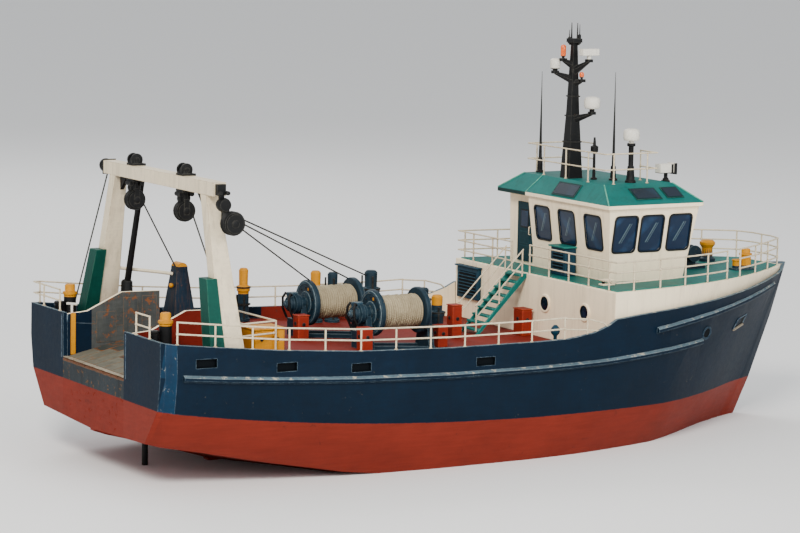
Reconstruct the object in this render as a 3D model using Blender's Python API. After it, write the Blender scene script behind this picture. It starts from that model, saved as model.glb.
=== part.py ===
"""A stern trawler at full size, in metres.

X points to the bow, Y to port and Z up. The origin is amidships on the centreline, on the
waterline. The hull is solid up to its decks, the wheelhouse is a hollow shell, and the rudder,
propeller, net drums, capstan, radar scanner, searchlight and doors are pieces of their own
with their origins on their axes.
"""
import math

import bmesh
import bpy
from mathutils import Matrix, Vector

for stale in list(bpy.data.objects):
    bpy.data.objects.remove(stale, do_unlink=True)

# Clearances
SEAT = 0.0003

# Hull: half breadths and heights at stations along the upper edge of the side
HULL_COLUMNS = ("x", "y_rail", "z_rail", "z_deck", "y_mid", "z_mid", "y_paint", "z_paint",
                "y_bilge", "z_bilge", "z_rabbet", "cuts")
HULL_STATIONS = (
    (-12.00, 4.36, 4.25, 3.95, 4.38, 3.30, 4.22, 2.35, 3.42, 1.32, 1.18, 1),
    (-11.62, 4.64, 4.20, 3.92, 4.66, 3.26, 4.50, 2.29, 3.62, 1.22, 1.05, 1),
    (-10.00, 4.70, 4.03, 3.75, 4.72, 3.10, 4.58, 2.08, 3.78, 0.92, 0.62, 1),
    (-8.40, 4.73, 3.87, 3.59, 4.75, 2.96, 4.62, 1.88, 3.88, 0.58, 0.12, 1),
    (-6.00, 4.75, 3.70, 3.42, 4.76, 2.80, 4.66, 1.64, 3.96, 0.14, -0.55, 1),
    (-3.00, 4.75, 3.61, 3.18, 4.75, 2.70, 4.66, 1.46, 3.96, -0.25, -1.20, 1),
    (0.00, 4.75, 3.60, 3.05, 4.73, 2.68, 4.62, 1.38, 3.82, -0.50, -1.50, 1),
    (1.00, 4.74, 3.62, 3.02, 4.71, 2.70, 4.57, 1.37, 3.72, -0.54, -1.56, 1),
    (1.90, 4.72, 3.74, 3.00, 4.68, 2.72, 4.50, 1.36, 3.60, -0.57, -1.60, 1),
    (2.40, 4.69, 3.90, 2.99, 4.64, 2.74, 4.44, 1.35, 3.50, -0.58, -1.62, 1),
    (2.75, 4.66, 4.08, 2.98, 4.60, 2.76, 4.38, 1.35, 3.42, -0.60, -1.64, 2),
    (5.00, 4.32, 4.22, 3.52, 4.14, 2.88, 3.86, 1.32, 2.86, -0.60, -1.66, 2),
    (7.00, 3.78, 4.33, 3.66, 3.46, 2.98, 3.05, 1.28, 2.00, -0.58, -1.66, 2),
    (9.00, 2.86, 4.47, 3.82, 2.42, 3.05, 1.98, 1.22, 1.12, -0.50, -1.55, 2),
    (10.60, 1.82, 4.60, 3.95, 1.38, 3.10, 1.02, 1.18, 0.56, -0.40, -1.20, 2),
    (11.60, 1.00, 4.70, 4.05, 0.72, 3.12, 0.50, 1.16, 0.28, -0.30, -0.90, 2),
    (12.40, 0.09, 4.80, 4.15, 0.09, 3.14, 0.09, 1.15, 0.09, -0.20, -0.70, 0),
)
RAKE_START = 5.0
STEM_X = {"rail": 12.40, "mid": 11.85, "paint": 11.05, "bilge": 10.38, "rabbet": 9.60, "keel": 8.20}
SIDE_THICKNESS = 0.12
RAIL_CROWN = 0.0006
TRANSOM_THICKNESS = 0.12
BREASTHOOK_X = 11.60
KEEL_HALF_WIDTH = 0.14
KEEL_BOTTOM = -2.15
SKEG_END_X = -8.40

# Stern ramp
TRANSOM_X = HULL_STATIONS[0][0]
RAMP_HALF_WIDTH = 2.06
RAMP_SILL_Z = 2.92
RAMP_HEAD_X = -8.90
RAMP_HEAD_Z = 3.60
RAMP_PLATE = 0.06
RAMP_WALL_THICKNESS = 0.12
RAMP_WALL_TOPS = ((-11.86, 4.19), (-11.23, 4.24), (-10.14, 4.74), (-8.92, 4.72))

# Forecastle block and its deck
FORECASTLE_AFT_X = 2.75
FORECASTLE_TOP = 4.85
DECK_PLATE = 0.03
DECK_PLATE_INSET = 0.12
FORECASTLE_DECK_Z = FORECASTLE_TOP + SEAT + DECK_PLATE

# Wheelhouse
WHEELHOUSE_BASE_Z = FORECASTLE_DECK_Z + SEAT
WHEELHOUSE_EAVE_Z = 7.12
WHEELHOUSE_WALL = 0.10
BASE_PLAN = ((3.78, -2.62), (6.50, -2.62), (6.50, 2.95), (3.803, 2.95), (3.803, 1.52), (3.78, 1.48))
EAVE_PLAN = ((3.48, -3.03), (6.76, -3.03), (6.76, 3.03), (3.80, 3.03), (3.80, 1.52), (3.48, 1.48))
ROOF_EAVE = ((3.38, -3.13), (6.86, -3.13), (6.86, 3.13), (3.38, 3.13))
ROOF_TOP = ((3.82, -2.20), (6.30, -2.20), (6.30, 2.20), (3.82, 2.20))
ROOF_EDGE_HEIGHT = 0.12
ROOF_TOP_Z = 7.78
WINDOW_SILL_Z = 5.77
WINDOW_HEAD_Z = 6.90

# Moving pieces
SHAFT_Z = -1.02
PROPELLER_X = -9.10
BLADE_COUNT = 4
RUDDER_X = -10.35
RUDDER_TOP = -0.30
RUDDER_BOTTOM = -1.88
HEEL_TOP = -1.93
DRUM_AXIS_Z = 4.32
DRUM_FLANGE_RADIUS = 0.68
DRUM_BARREL_RADIUS = 0.26
DRUM_ROPE_RADIUS = 0.50
DRUM_HALF_LENGTH = 0.84
DRUM_SHAFT_RADIUS = 0.08
DRUM_ROPE_END = 0.165
DRUM_SIDES = 28
# Columns: suffix, x, y
DRUMS = (("inner", -4.00, 0.60), ("outer", -3.27, -2.00))
CAPSTAN = (9.70, 0.50)

# Openings in the side and the belts along it
FREEING_PORTS = (-10.75, -8.30, -5.95, -1.85)
PORT_LENGTH = 0.62
PORT_HEIGHT = 0.24
PORT_DROP = 0.46
PORT_DEPTH = 0.08
# Columns: kind, x of both ends, z at both ends
BELTS = (("long", -11.45, 6.60, 3.28, 3.05), ("bow", 4.40, 10.90, 3.62, 4.32))
LONG_BELT_SAG = 0.36
BELT_SECTION = ((-0.06, -0.10), (-0.06, 0.10), (0.07, 0.07), (0.11, 0.03), (0.11, -0.05), (0.07, -0.09))

# Windows and the door of the wheelhouse
# Columns: wall, centre along the wall, width
WINDOWS = (
    ("aft", 0.75, 0.86), ("aft", -0.61, 0.90), ("aft", -2.05, 0.92),
    ("starboard", 4.15, 0.84), ("starboard", 5.105, 0.84), ("starboard", 6.13, 0.84),
    ("port", 4.28, 0.62), ("port", 5.105, 0.84), ("port", 6.13, 0.84),
    ("fore", -1.85, 0.90), ("fore", -0.62, 0.90), ("fore", 0.62, 0.90), ("fore", 1.85, 0.90),
)
DOOR_LOW_Y, DOOR_HIGH_Y = 1.66, 2.44
DOOR_LOW_Z, DOOR_HIGH_Z = 5.02, 6.82
DOOR_LAP = 0.03
DOOR_THICKNESS = 0.06
DOOR_WALL_X = 3.80
DOOR_HINGE_X = 3.775

# Railings
RAIL_BAR = 0.045
RAIL_POST = 0.05
ROOF_RAIL_BAR = 0.04
ROOF_RAIL_POST = 0.045
MAIN_RAIL_HEIGHTS = (0.32, 0.64)
FORECASTLE_RAIL_HEIGHTS = (0.30, 0.60, 0.90)
ROOF_RAIL_HEIGHTS = (0.46, 0.94)
RAIL_INSET = 0.06
STERN_RAIL_X = -11.94
STERN_RAIL_END_Y = 2.40
STERN_RAIL_CORNER_Y = 4.30
SHORT_RAIL_YS = (-2.70, -3.60)
STERN_RAIL_LIFT = 0.0038
MAIN_RAIL_END_X = 0.90
ROOF_RAIL_FORE_X = 5.78
ROOF_RAIL_RETURN = 0.90

# Stairs
STAIR_Y = 0.78
STAIR_WIDTH = 0.86
STAIR_TREADS = 9
STAIR_RUN = 1.70
STRING_DEPTH = 0.20
STRING_WIDTH = 0.05
HANDRAIL_HEIGHT = 0.80
HANDRAIL_OUT = 0.06

# Gantry
GANTRY_X = -9.85
GANTRY_BEAM_Z = 8.08
GANTRY_BEAM_HEIGHT = 0.38
GANTRY_BEAM_HALF = 0.20
GANTRY_BEAM_END_Y = 3.58
GANTRY_HEAD_Y = 2.95
GANTRY_FOOT_Y = 4.20
GANTRY_LEG_HALF = 0.19
GANTRY_LEG_FOOT = (-10.15, -9.40)
GANTRY_LEG_HEAD = (-10.04, -9.66)
SHOE_SHARE = 0.48
SHOE_FOOT_DEPTH = 0.35
SHOE_HEAD_DEPTH = 0.26
SHOE_HALF = 0.25
# Columns: side, foot x, foot y, head y
STAYS = (("port", -9.38, 3.35, 2.30), ("starboard", -9.38, -3.40, -1.85))
STAY_HEAD_X = -9.38
STAY_CONE_RADIUS = 0.33
# Columns: suffix, y
BLOCKS = (("port", 1.85), ("centre", -1.40))
BLOCK_PLATE_REACH = 0.16
OUTER_SHEAVE = (0.21, -0.92)
TOWER = (-7.85, 2.95)
TOWER_HEIGHT = 1.66
TOWER_FOOT = (0.38, 0.44)
TOWER_HEAD = (0.17, 0.20)

# Deck gear
BOX_BEVEL = 0.02
# Columns: name, x, y, length, width, height, finish
DECK_BOXES = (
    ("control_box_inner", -5.42, -0.20, 0.36, 0.34, 0.68, "signal_red"),
    ("control_box_outer", -4.78, -2.86, 0.36, 0.34, 0.68, "signal_red"),
    ("valve_box", -1.56, -1.72, 0.34, 0.34, 0.62, "signal_red"),
    ("pump_box", 0.03, 0.10, 0.34, 0.36, 0.98, "signal_red"),
    ("hose_box", 2.44, 0.02, 0.36, 0.52, 0.80, "signal_red"),
    ("fish_hatch", -8.10, -2.90, 0.95, 0.85, 0.62, "yellow_paint"),
)
# Columns: name, x, y, radius, height, finish
DECK_POSTS = (
    ("net_guide_post", -5.26, 3.80, 0.17, 1.62, "yellow_paint"),
    ("fairlead_post_aft", -2.70, 3.90, 0.19, 1.60, "yellow_paint"),
    ("fairlead_post_fore", -2.10, 3.90, 0.19, 1.55, "machine_blue"),
    ("cable_reel", -0.73, 3.90, 0.24, 1.60, "machine_blue"),
    ("deck_ventilator", 1.05, 3.70, 0.22, 1.05, "machine_blue"),
    ("hydraulic_unit", -1.26, -1.00, 0.20, 1.45, "machine_blue"),
)
# Columns: name, x, y, foot level, height, finish
BITTS = (
    ("stern_bitts_port", -11.40, 3.20, None, 0.92, "machine_blue"),
    ("stern_bitts_starboard", -11.40, -3.20, None, 0.92, "machine_blue"),
    ("bow_bitts_port", 9.45, 1.70, FORECASTLE_DECK_Z, 0.62, "yellow_paint"),
    ("bow_bitts_starboard", 9.45, -1.70, FORECASTLE_DECK_Z, 0.62, "yellow_paint"),
)
# Columns: share of the height, radius
TALL_BITT = ((0.0, 0.18), (0.66, 0.18), (0.68, 0.21), (0.76, 0.21), (0.78, 0.15), (0.97, 0.15), (1.0, 0.12))
SHORT_BITT = ((0.0, 0.13), (0.38, 0.13), (0.40, 0.15), (0.46, 0.15), (0.48, 0.12))
BITT_STEPS = ((0.12, TALL_BITT), (-0.22, SHORT_BITT))
BITT_FOOT = (0.36, 0.20, 0.05)
LOCKER = ((3.26, -1.02), (3.66, -0.20), 0.86)
VENT_Y = (2.95, 4.22)
VENT_Z = (3.66, 4.66)
VENT_DEPTH = 0.14
WINDLASS_X = 8.15
WINDLASS_SHAFT_RISE = 0.48

# Mast and roof gear
MAST_X = 4.16
MAST_Y = 0.12
MAST_TOP_Z = 12.05
# Columns: height above the roof, half width
MAST_SECTIONS = ((0.0, 0.25), (2.05, 0.145), (4.27, 0.07))
# Columns: reach to starboard, height at the mast, rise to the tip
MAST_ARMS = ((0.64, 9.60, 0.18), (-0.62, 10.83, 0.16), (0.50, 11.10, 0.28), (-0.36, 11.28, 0.10),
             (0.27, 10.72, 0.04))
ARM_ROOT_RADIUS = 0.15
ARM_TIP_RADIUS = 0.05
ARM_DIRECTION = (0.55, -0.835)
ARM_TABLE = 0.09
SATELLITE_DOME = (5.02, -1.84)
PEDESTAL_HEIGHT = 1.20
SEARCHLIGHT = (6.43, -1.70)
SEARCHLIGHT_Z = 7.80
SEARCHLIGHT_FOOT_HALF = 0.10

# Finishes: red, green, blue, roughness, metallic
FINISHES = {
    "hull_blue": (0.020, 0.060, 0.125, 0.45, 0.0),
    "cream_paint": (0.700, 0.640, 0.500, 0.50, 0.0),
    "deck_green": (0.020, 0.220, 0.160, 0.50, 0.0),
    "ramp_steel": (0.130, 0.110, 0.090, 0.70, 0.4),
    "rope": (0.560, 0.480, 0.340, 0.90, 0.0),
    "black_steel": (0.020, 0.022, 0.022, 0.55, 0.3),
    "machine_blue": (0.030, 0.060, 0.085, 0.45, 0.2),
    "signal_red": (0.500, 0.060, 0.020, 0.50, 0.0),
    "yellow_paint": (0.750, 0.360, 0.020, 0.50, 0.0),
    "radome_white": (0.740, 0.720, 0.660, 0.40, 0.0),
    "bronze": (0.600, 0.380, 0.140, 0.35, 1.0),
    "antifouling": (0.330, 0.050, 0.030, 0.60, 0.0),
}


def finish(name):
    """Returns the named Principled material, made on first use."""
    found = bpy.data.materials.get(name)
    if found:
        return found
    red, green, blue, roughness, metallic = FINISHES[name]
    made = bpy.data.materials.new(name)
    made.use_nodes = True
    shader = made.node_tree.nodes["Principled BSDF"]
    shader.inputs["Base Color"].default_value = (red, green, blue, 1.0)
    shader.inputs["Roughness"].default_value = roughness
    shader.inputs["Metallic"].default_value = metallic
    made.diffuse_color = (red, green, blue, 1.0)
    return made


def add_object(name, bm, material, origin=(0.0, 0.0, 0.0), smooth_angle=30.0):
    """Turns a bmesh in world coordinates into an object whose origin is at `origin`."""
    bmesh.ops.recalc_face_normals(bm, faces=bm.faces)
    origin = Vector(origin)
    bmesh.ops.translate(bm, verts=bm.verts, vec=-origin)
    mesh = bpy.data.meshes.new(name)
    bm.to_mesh(mesh)
    bm.free()
    mesh.materials.append(finish(material))
    mesh.shade_smooth()
    mesh.set_sharp_from_angle(angle=math.radians(smooth_angle))
    made = bpy.data.objects.new(name, mesh)
    made.location = origin
    bpy.context.scene.collection.objects.link(made)
    return made


def add_box(bm, low, high):
    """Adds a box between two corners."""
    size = Vector(high) - Vector(low)
    centre = (Vector(high) + Vector(low)) / 2
    matrix = Matrix.Translation(centre) @ Matrix.Diagonal((*size, 1.0))
    bmesh.ops.create_cube(bm, size=1.0, matrix=matrix)


def add_ring_loft(bm, rings, cap_first=True, cap_last=True):
    """Joins rings of equal length into one closed skin."""
    rows = [[bm.verts.new(point) for point in ring] for ring in rings]
    count = len(rows[0])
    for near, far in zip(rows, rows[1:]):
        for i in range(count):
            j = (i + 1) % count
            bm.faces.new((near[i], near[j], far[j], far[i]))
    if cap_first:
        bm.faces.new(rows[0])
    if cap_last:
        bm.faces.new(rows[-1])
    return rows


def axis_matrix(start, end):
    """Frame at `start` whose Z points to `end`."""
    direction = Vector(end) - Vector(start)
    return Matrix.Translation(start) @ direction.to_track_quat("Z", "Y").to_matrix().to_4x4()


def add_turned(bm, profile, start, end, sides=20, closed=False):
    """Turns (distance, radius) pairs about the line from `start` to `end`, as a ring where closed."""
    frame = axis_matrix(start, end)
    rings = []
    for distance, radius in profile:
        ring = []
        for i in range(sides):
            turn = math.tau * i / sides
            local = Vector((radius * math.cos(turn), radius * math.sin(turn), distance))
            ring.append(frame @ local)
        rings.append(ring)
    if closed:
        rows = add_ring_loft(bm, rings, False, False)
        for i in range(sides):
            j = (i + 1) % sides
            bm.faces.new((rows[-1][i], rows[-1][j], rows[0][j], rows[0][i]))
    else:
        add_ring_loft(bm, rings)


def add_rod(bm, start, end, radius, sides=10, end_radius=None):
    """Adds a round rod between two points."""
    length = (Vector(end) - Vector(start)).length
    tip = radius if end_radius is None else end_radius
    add_turned(bm, ((0.0, radius), (length, tip)), start, end, sides)


def add_frustum(bm, low_plan, low_z, high_plan, high_z):
    """Adds a solid between two level outlines."""
    rings = [[(x, y, low_z) for x, y in low_plan], [(x, y, high_z) for x, y in high_plan]]
    add_ring_loft(bm, rings)


def add_prism(bm, outline, y_low, y_high):
    """Adds an upright plate: an (x, z) outline between two values of y."""
    rings = [[(x, y_low, z) for x, z in outline], [(x, y_high, z) for x, z in outline]]
    add_ring_loft(bm, rings)


def solid(build, *details):
    """Makes one temporary solid with a bmesh function, for the Boolean steps."""
    bm = bmesh.new()
    build(bm, *details)
    return add_object("operand", bm, "black_steel")


def combine(name, base, others, material, operation="UNION", origin=(0.0, 0.0, 0.0), smooth_angle=30.0,
            tidy=True):
    """Combines temporary solids into one object by exact Booleans."""
    for other in others:
        step = base.modifiers.new("combine", "BOOLEAN")
        step.solver = "EXACT"
        step.operation = operation
        step.object = other
    depsgraph = bpy.context.evaluated_depsgraph_get()
    mesh = bpy.data.meshes.new_from_object(base.evaluated_get(depsgraph))
    bm = bmesh.new()
    bm.from_mesh(mesh)
    bmesh.ops.transform(bm, matrix=base.matrix_world, verts=bm.verts)
    if tidy:
        bmesh.ops.dissolve_limit(bm, angle_limit=math.radians(0.05), verts=bm.verts, edges=bm.edges)
    for used in [base, *others]:
        bpy.data.objects.remove(used, do_unlink=True)
    return add_object(name, bm, material, origin, smooth_angle)


def fuse(name, pieces, material, origin=(0.0, 0.0, 0.0), smooth_angle=30.0):
    """Fuses (function, arguments) pieces into one solid."""
    made = [solid(build, *details) for build, *details in pieces]
    return combine(name, made[0], made[1:], material, "UNION", origin, smooth_angle)


def blend_rows(before, low, high, after, t):
    """Catmull-Rom value of every column between two table rows."""
    values = []
    for a, b, c, d in zip(before, low, high, after):
        linear = b + (c - b) * t
        curved = 0.5 * (2 * b + (c - a) * t + (2 * a - 5 * b + 4 * c - d) * t * t
                        + (3 * b - a - 3 * c + d) * t ** 3)
        values.append(curved if after is not high else linear)
    return values


def fine_stations():
    """Hull table with the fuller cuts of the bow filled in."""
    rows = []
    for index, row in enumerate(HULL_STATIONS[:-1]):
        cuts = row[-1]
        following = HULL_STATIONS[index + 1]
        before = HULL_STATIONS[index - 1] if index > 0 else row
        after = HULL_STATIONS[index + 2] if index + 2 < len(HULL_STATIONS) else following
        for cut in range(cuts):
            if cut == 0:
                rows.append(dict(zip(HULL_COLUMNS, row)))
            else:
                values = blend_rows(before, row, following, after, cut / cuts)
                rows.append(dict(zip(HULL_COLUMNS, values)))
    rows.append(dict(zip(HULL_COLUMNS, HULL_STATIONS[-1])))
    return rows


STATIONS = fine_stations()


def at_station(x, column):
    """Value of a hull column at x, straight between stations."""
    for low, high in zip(STATIONS, STATIONS[1:]):
        if low["x"] <= x <= high["x"]:
            share = (x - low["x"]) / (high["x"] - low["x"])
            return low[column] + (high[column] - low[column]) * share
    return STATIONS[0 if x < STATIONS[0]["x"] else -1][column]


def station_xs(x_low, x_high):
    """x of both ends and of every station between them."""
    between = [row["x"] for row in STATIONS if x_low + 0.001 < row["x"] < x_high - 0.001]
    return [x_low, *between, x_high]


def deck_top(x, reach):
    """Highest point of the main deck within a reach of x."""
    return max(at_station(step, "z_deck") for step in station_xs(x - reach, x + reach))


def raked(x, level):
    """x of a hull line whose end follows the raked stem."""
    if x <= RAKE_START:
        return x
    share = (x - RAKE_START) / (STEM_X["rail"] - RAKE_START)
    return RAKE_START + (STEM_X[level] - RAKE_START) * share


def floor_half(x):
    """Half breadth of the deck inside the bulwark at x."""
    inner = at_station(x, "y_rail") - SIDE_THICKNESS - 0.001
    return min(inner, side_breadth(x, at_station(x, "z_deck")) - SIDE_THICKNESS)


def hull_ring(row, walled, keeled):
    """Section of the hull at a station, from the keel up the port side and down to starboard."""
    x = row["x"]
    inner = max(row["y_rail"] - SIDE_THICKNESS, row["y_rail"] * 0.5)
    floor = row["z_rail"] + 2 * RAIL_CROWN if walled else row["z_deck"]
    keel = KEEL_BOTTOM if keeled else row["z_rabbet"] - 0.05
    half = (
        (raked(x, "keel"), KEEL_HALF_WIDTH, keel),
        (raked(x, "rabbet"), KEEL_HALF_WIDTH, row["z_rabbet"]),
        (raked(x, "bilge"), row["y_bilge"], row["z_bilge"]),
        (raked(x, "paint"), row["y_paint"], row["z_paint"]),
        (raked(x, "mid"), row["y_mid"], row["z_mid"]),
        (x, row["y_rail"], row["z_rail"]),
        (x, inner, row["z_rail"] + RAIL_CROWN),
        (x, inner / 2 if walled else floor_half(x), floor),
    )
    stem_width = min(row["y_bilge"], KEEL_HALF_WIDTH)
    points = [(px, min(py, stem_width) if index < 2 else py, pz) for index, (px, py, pz) in enumerate(half)]
    mirrored = [(px, -py, pz) for px, py, pz in reversed(points)]
    return points + mirrored


def make_hull():
    """Solid hull with its bulwark, belts and heel, cut for the stern ramp and the freeing ports."""
    rings = []
    for row in STATIONS:
        x = row["x"]
        if x == STATIONS[0]["x"]:
            rings.append(hull_ring(row, True, False))
            inside = dict(row)
            share = TRANSOM_THICKNESS / (STATIONS[1]["x"] - x)
            for column in HULL_COLUMNS[:-1]:
                inside[column] += (STATIONS[1][column] - row[column]) * share
            rings.append(hull_ring(inside, True, False))
            just_inside = dict(inside)
            just_inside["x"] += 0.001
            rings.append(hull_ring(just_inside, False, False))
        elif x == SKEG_END_X:
            rings.append(hull_ring(row, False, False))
            beyond = dict(row)
            beyond["x"] += 0.001
            rings.append(hull_ring(beyond, False, True))
        elif x == BREASTHOOK_X:
            rings.append(hull_ring(row, False, True))
            beyond = dict(row)
            beyond["x"] += 0.001
            rings.append(hull_ring(beyond, True, True))
        else:
            rings.append(hull_ring(row, x > BREASTHOOK_X, x > SKEG_END_X))
    bm = bmesh.new()
    rows = add_ring_loft(bm, rings, cap_first=False, cap_last=False)
    for end in (rows[0], rows[-1]):
        for j in range(len(end) // 2 - 1):
            bm.faces.new((end[j], end[j + 1], end[-j - 2], end[-j - 1]))
    bmesh.ops.triangulate(bm, faces=bm.faces)
    hull = add_object("hull_blank", bm, "hull_blue")
    heel = ((RUDDER_X - 0.20, -0.13, KEEL_BOTTOM + 0.02), (SKEG_END_X + 0.40, 0.13, HEEL_TOP))
    hull = combine("hull_joined", hull, [*make_belts(), solid(add_box, *heel)], "hull_blue", tidy=False)

    cutters = []
    outside = TRANSOM_X - 0.5
    slot = ((outside, ramp_height(outside) - RAMP_PLATE), (RAMP_HEAD_X, RAMP_HEAD_Z - RAMP_PLATE),
            (RAMP_HEAD_X, 5.5), (outside, 5.5))
    cutters.append(solid(add_prism, slot, -RAMP_HALF_WIDTH, RAMP_HALF_WIDTH))
    for x in FREEING_PORTS:
        z = at_station(x, "z_rail") - PORT_DROP
        for side in (-1, 1):
            depth = at_station(x, "y_rail") - PORT_DEPTH
            low_y, high_y = sorted((side * depth, side * (depth + 0.4)))
            low = (x - PORT_LENGTH / 2, low_y, z - PORT_HEIGHT / 2)
            high = (x + PORT_LENGTH / 2, high_y, z + PORT_HEIGHT / 2)
            cutters.append(solid(add_box, low, high))
    return combine("hull", hull, cutters, "hull_blue", "DIFFERENCE", smooth_angle=28.0, tidy=False)


def make_belts():
    """Steel belts along each side, the long one low and the short one at the bow."""
    belts = []
    for side in (1, -1):
        for kind, x_low, x_high, z_low, z_high in BELTS:
            rings = []
            for x in station_xs(x_low, x_high):
                share = (x - x_low) / (x_high - x_low)
                z = z_low + (z_high - z_low) * share + belt_sag(kind, share)
                y = side_breadth(x, z)
                rings.append([(x, side * (y + out), z + up) for out, up in BELT_SECTION])
            belts.append(solid(add_ring_loft, rings))
    return belts


def belt_sag(kind, share):
    """How far a belt hangs below the straight line between its ends."""
    return -LONG_BELT_SAG * 4 * share * (1 - share) if kind == "long" else 0.0


def side_breadth(x, z):
    """Greatest half breadth of the hull's side at x and z, for the line of a belt."""
    best = 0.0
    levels = (("paint", "y_paint", "z_paint"), ("mid", "y_mid", "z_mid"), ("rail", "y_rail", "z_rail"))
    found = []
    for level, y_column, z_column in levels:
        parent = unraked(x, level)
        found.append((at_station(parent, z_column), at_station(parent, y_column)))
    for (z_a, y_a), (z_b, y_b) in zip(found, found[1:]):
        if z_a <= z <= z_b:
            best = y_a + (y_b - y_a) * (z - z_a) / (z_b - z_a)
    return best


def unraked(x, level):
    """Station x of the point of a hull line that lies at x."""
    if x <= RAKE_START:
        return x
    share = (x - RAKE_START) / (STEM_X[level] - RAKE_START)
    return RAKE_START + (STEM_X["rail"] - RAKE_START) * share


def ramp_height(x):
    """Height of the ramp's top face at x."""
    return RAMP_SILL_Z + (RAMP_HEAD_Z - RAMP_SILL_Z) * (x - TRANSOM_X) / (RAMP_HEAD_X - TRANSOM_X)


def make_ramp():
    """Steel plating of the stern ramp and the walls along it."""
    bm = bmesh.new()
    start, end = TRANSOM_X, RAMP_HEAD_X - SEAT
    top = [(x, ramp_height(x)) for x in (start, end)]
    under = RAMP_PLATE - SEAT
    outline = [(start, top[0][1] - under), (end, top[1][1] - under), top[1], top[0]]
    add_prism(bm, outline, -RAMP_HALF_WIDTH + SEAT, RAMP_HALF_WIDTH - SEAT)
    add_object("ramp_plating", bm, "ramp_steel")
    for side, label in ((1, "port"), (-1, "starboard")):
        x_low, x_high = RAMP_WALL_TOPS[0][0], RAMP_WALL_TOPS[-1][0]
        foot = [(x, at_station(x, "z_deck") + SEAT) for x in station_xs(x_low, x_high)]
        outline = foot + list(reversed(RAMP_WALL_TOPS))
        inner = side * (RAMP_HALF_WIDTH + SEAT)
        outer = side * (RAMP_HALF_WIDTH + RAMP_WALL_THICKNESS)
        bm = bmesh.new()
        add_prism(bm, outline, min(inner, outer), max(inner, outer))
        add_object(f"ramp_wall_{label}", bm, "ramp_steel")


def level_block(name, x_low, x_high, inset, z_low, z_high, material):
    """Solid that follows the inside of the bulwark between two values of x."""
    rings = []
    for x in station_xs(x_low, x_high):
        high_half = at_station(x, "y_rail") - SIDE_THICKNESS - inset
        low_half = floor_half(x) - inset if z_low is None else high_half
        low = at_station(x, "z_deck") + SEAT if z_low is None else z_low
        rings.append([(x, -low_half, low), (x, low_half, low),
                      (x, high_half, z_high), (x, -high_half, z_high)])
    bm = bmesh.new()
    add_ring_loft(bm, rings)
    return add_object(name, bm, material)


def make_forecastle():
    """Raised white block over the fore part and the green deck plate on it."""
    level_block("forecastle", FORECASTLE_AFT_X, BREASTHOOK_X - 0.002, 0.002, None, FORECASTLE_TOP,
                "cream_paint")
    level_block("forecastle_deck", FORECASTLE_AFT_X + DECK_PLATE_INSET, BREASTHOOK_X - 0.25,
                DECK_PLATE_INSET, FORECASTLE_TOP + SEAT, FORECASTLE_DECK_Z, "deck_green")


def shrink_plan(plan, step):
    """Plan moved inwards by a wall thickness; the walls run along X and Y."""
    centre = Vector((5.1, 0.0))
    moved = []
    for x, y in plan:
        in_x = step if x < centre.x else -step
        in_y = step if y < centre.y else -step
        moved.append((x + in_x, y + in_y))
    return moved


def make_wheelhouse():
    """Hollow wheelhouse shell with its windows and doorway cut, and the roof on it."""
    shell = solid(add_frustum, BASE_PLAN, WHEELHOUSE_BASE_Z, EAVE_PLAN, WHEELHOUSE_EAVE_Z)
    inner_low = shrink_plan(BASE_PLAN, WHEELHOUSE_WALL)
    inner_high = shrink_plan(EAVE_PLAN, WHEELHOUSE_WALL)
    low_z, high_z = WHEELHOUSE_BASE_Z - 0.05, WHEELHOUSE_EAVE_Z + 0.05
    cutters = [solid(add_frustum, inner_low, low_z, inner_high, high_z)]
    for axis, centre, width in WINDOWS:
        if axis == "aft":
            cutters.append(solid(add_box, (3.2, centre - width / 2, WINDOW_SILL_Z),
                                 (4.2, centre + width / 2, WINDOW_HEAD_Z)))
        elif axis == "fore":
            cutters.append(solid(add_box, (6.2, centre - width / 2, WINDOW_SILL_Z),
                                 (7.0, centre + width / 2, WINDOW_HEAD_Z)))
        else:
            side = 1 if axis == "port" else -1
            low, high = sorted((side * 2.3, side * 3.3))
            cutters.append(solid(add_box, (centre - width / 2, low, WINDOW_SILL_Z),
                                 (centre + width / 2, high, WINDOW_HEAD_Z)))
    cutters.append(solid(add_box, (3.5, DOOR_LOW_Y, DOOR_LOW_Z), (4.2, DOOR_HIGH_Y, DOOR_HIGH_Z)))
    combine("wheelhouse_walls", shell, cutters, "cream_paint", "DIFFERENCE", tidy=False)

    bm = bmesh.new()
    eave_low = WHEELHOUSE_EAVE_Z + SEAT
    eave_high = eave_low + ROOF_EDGE_HEIGHT
    rings = [[(x, y, eave_low) for x, y in ROOF_EAVE], [(x, y, eave_high) for x, y in ROOF_EAVE],
             [(x, y, ROOF_TOP_Z) for x, y in ROOF_TOP]]
    add_ring_loft(bm, rings)
    add_object("wheelhouse_roof", bm, "deck_green")


def make_wheelhouse_door():
    """Door in the aft wall, hung on its port edge, standing just outside the frame."""
    bm = bmesh.new()
    low = (DOOR_HINGE_X - DOOR_THICKNESS / 2, DOOR_LOW_Y - DOOR_LAP, DOOR_LOW_Z - DOOR_LAP)
    high = (DOOR_WALL_X - SEAT, DOOR_HIGH_Y + DOOR_LAP, DOOR_HIGH_Z + DOOR_LAP)
    add_box(bm, low, high)
    add_object("wheelhouse_door", bm, "machine_blue", (DOOR_HINGE_X, DOOR_HIGH_Y + DOOR_LAP, DOOR_LOW_Z))


def path_point(path, distance):
    """Point and direction at a distance along a polyline."""
    walked = 0.0
    for start, end in zip(path, path[1:]):
        step = (end - start).length
        if distance <= walked + step + 1e-9:
            return start.lerp(end, (distance - walked) / step), (end - start).normalized()
        walked += step
    return path[-1].copy(), (path[-1] - path[-2]).normalized()


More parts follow.
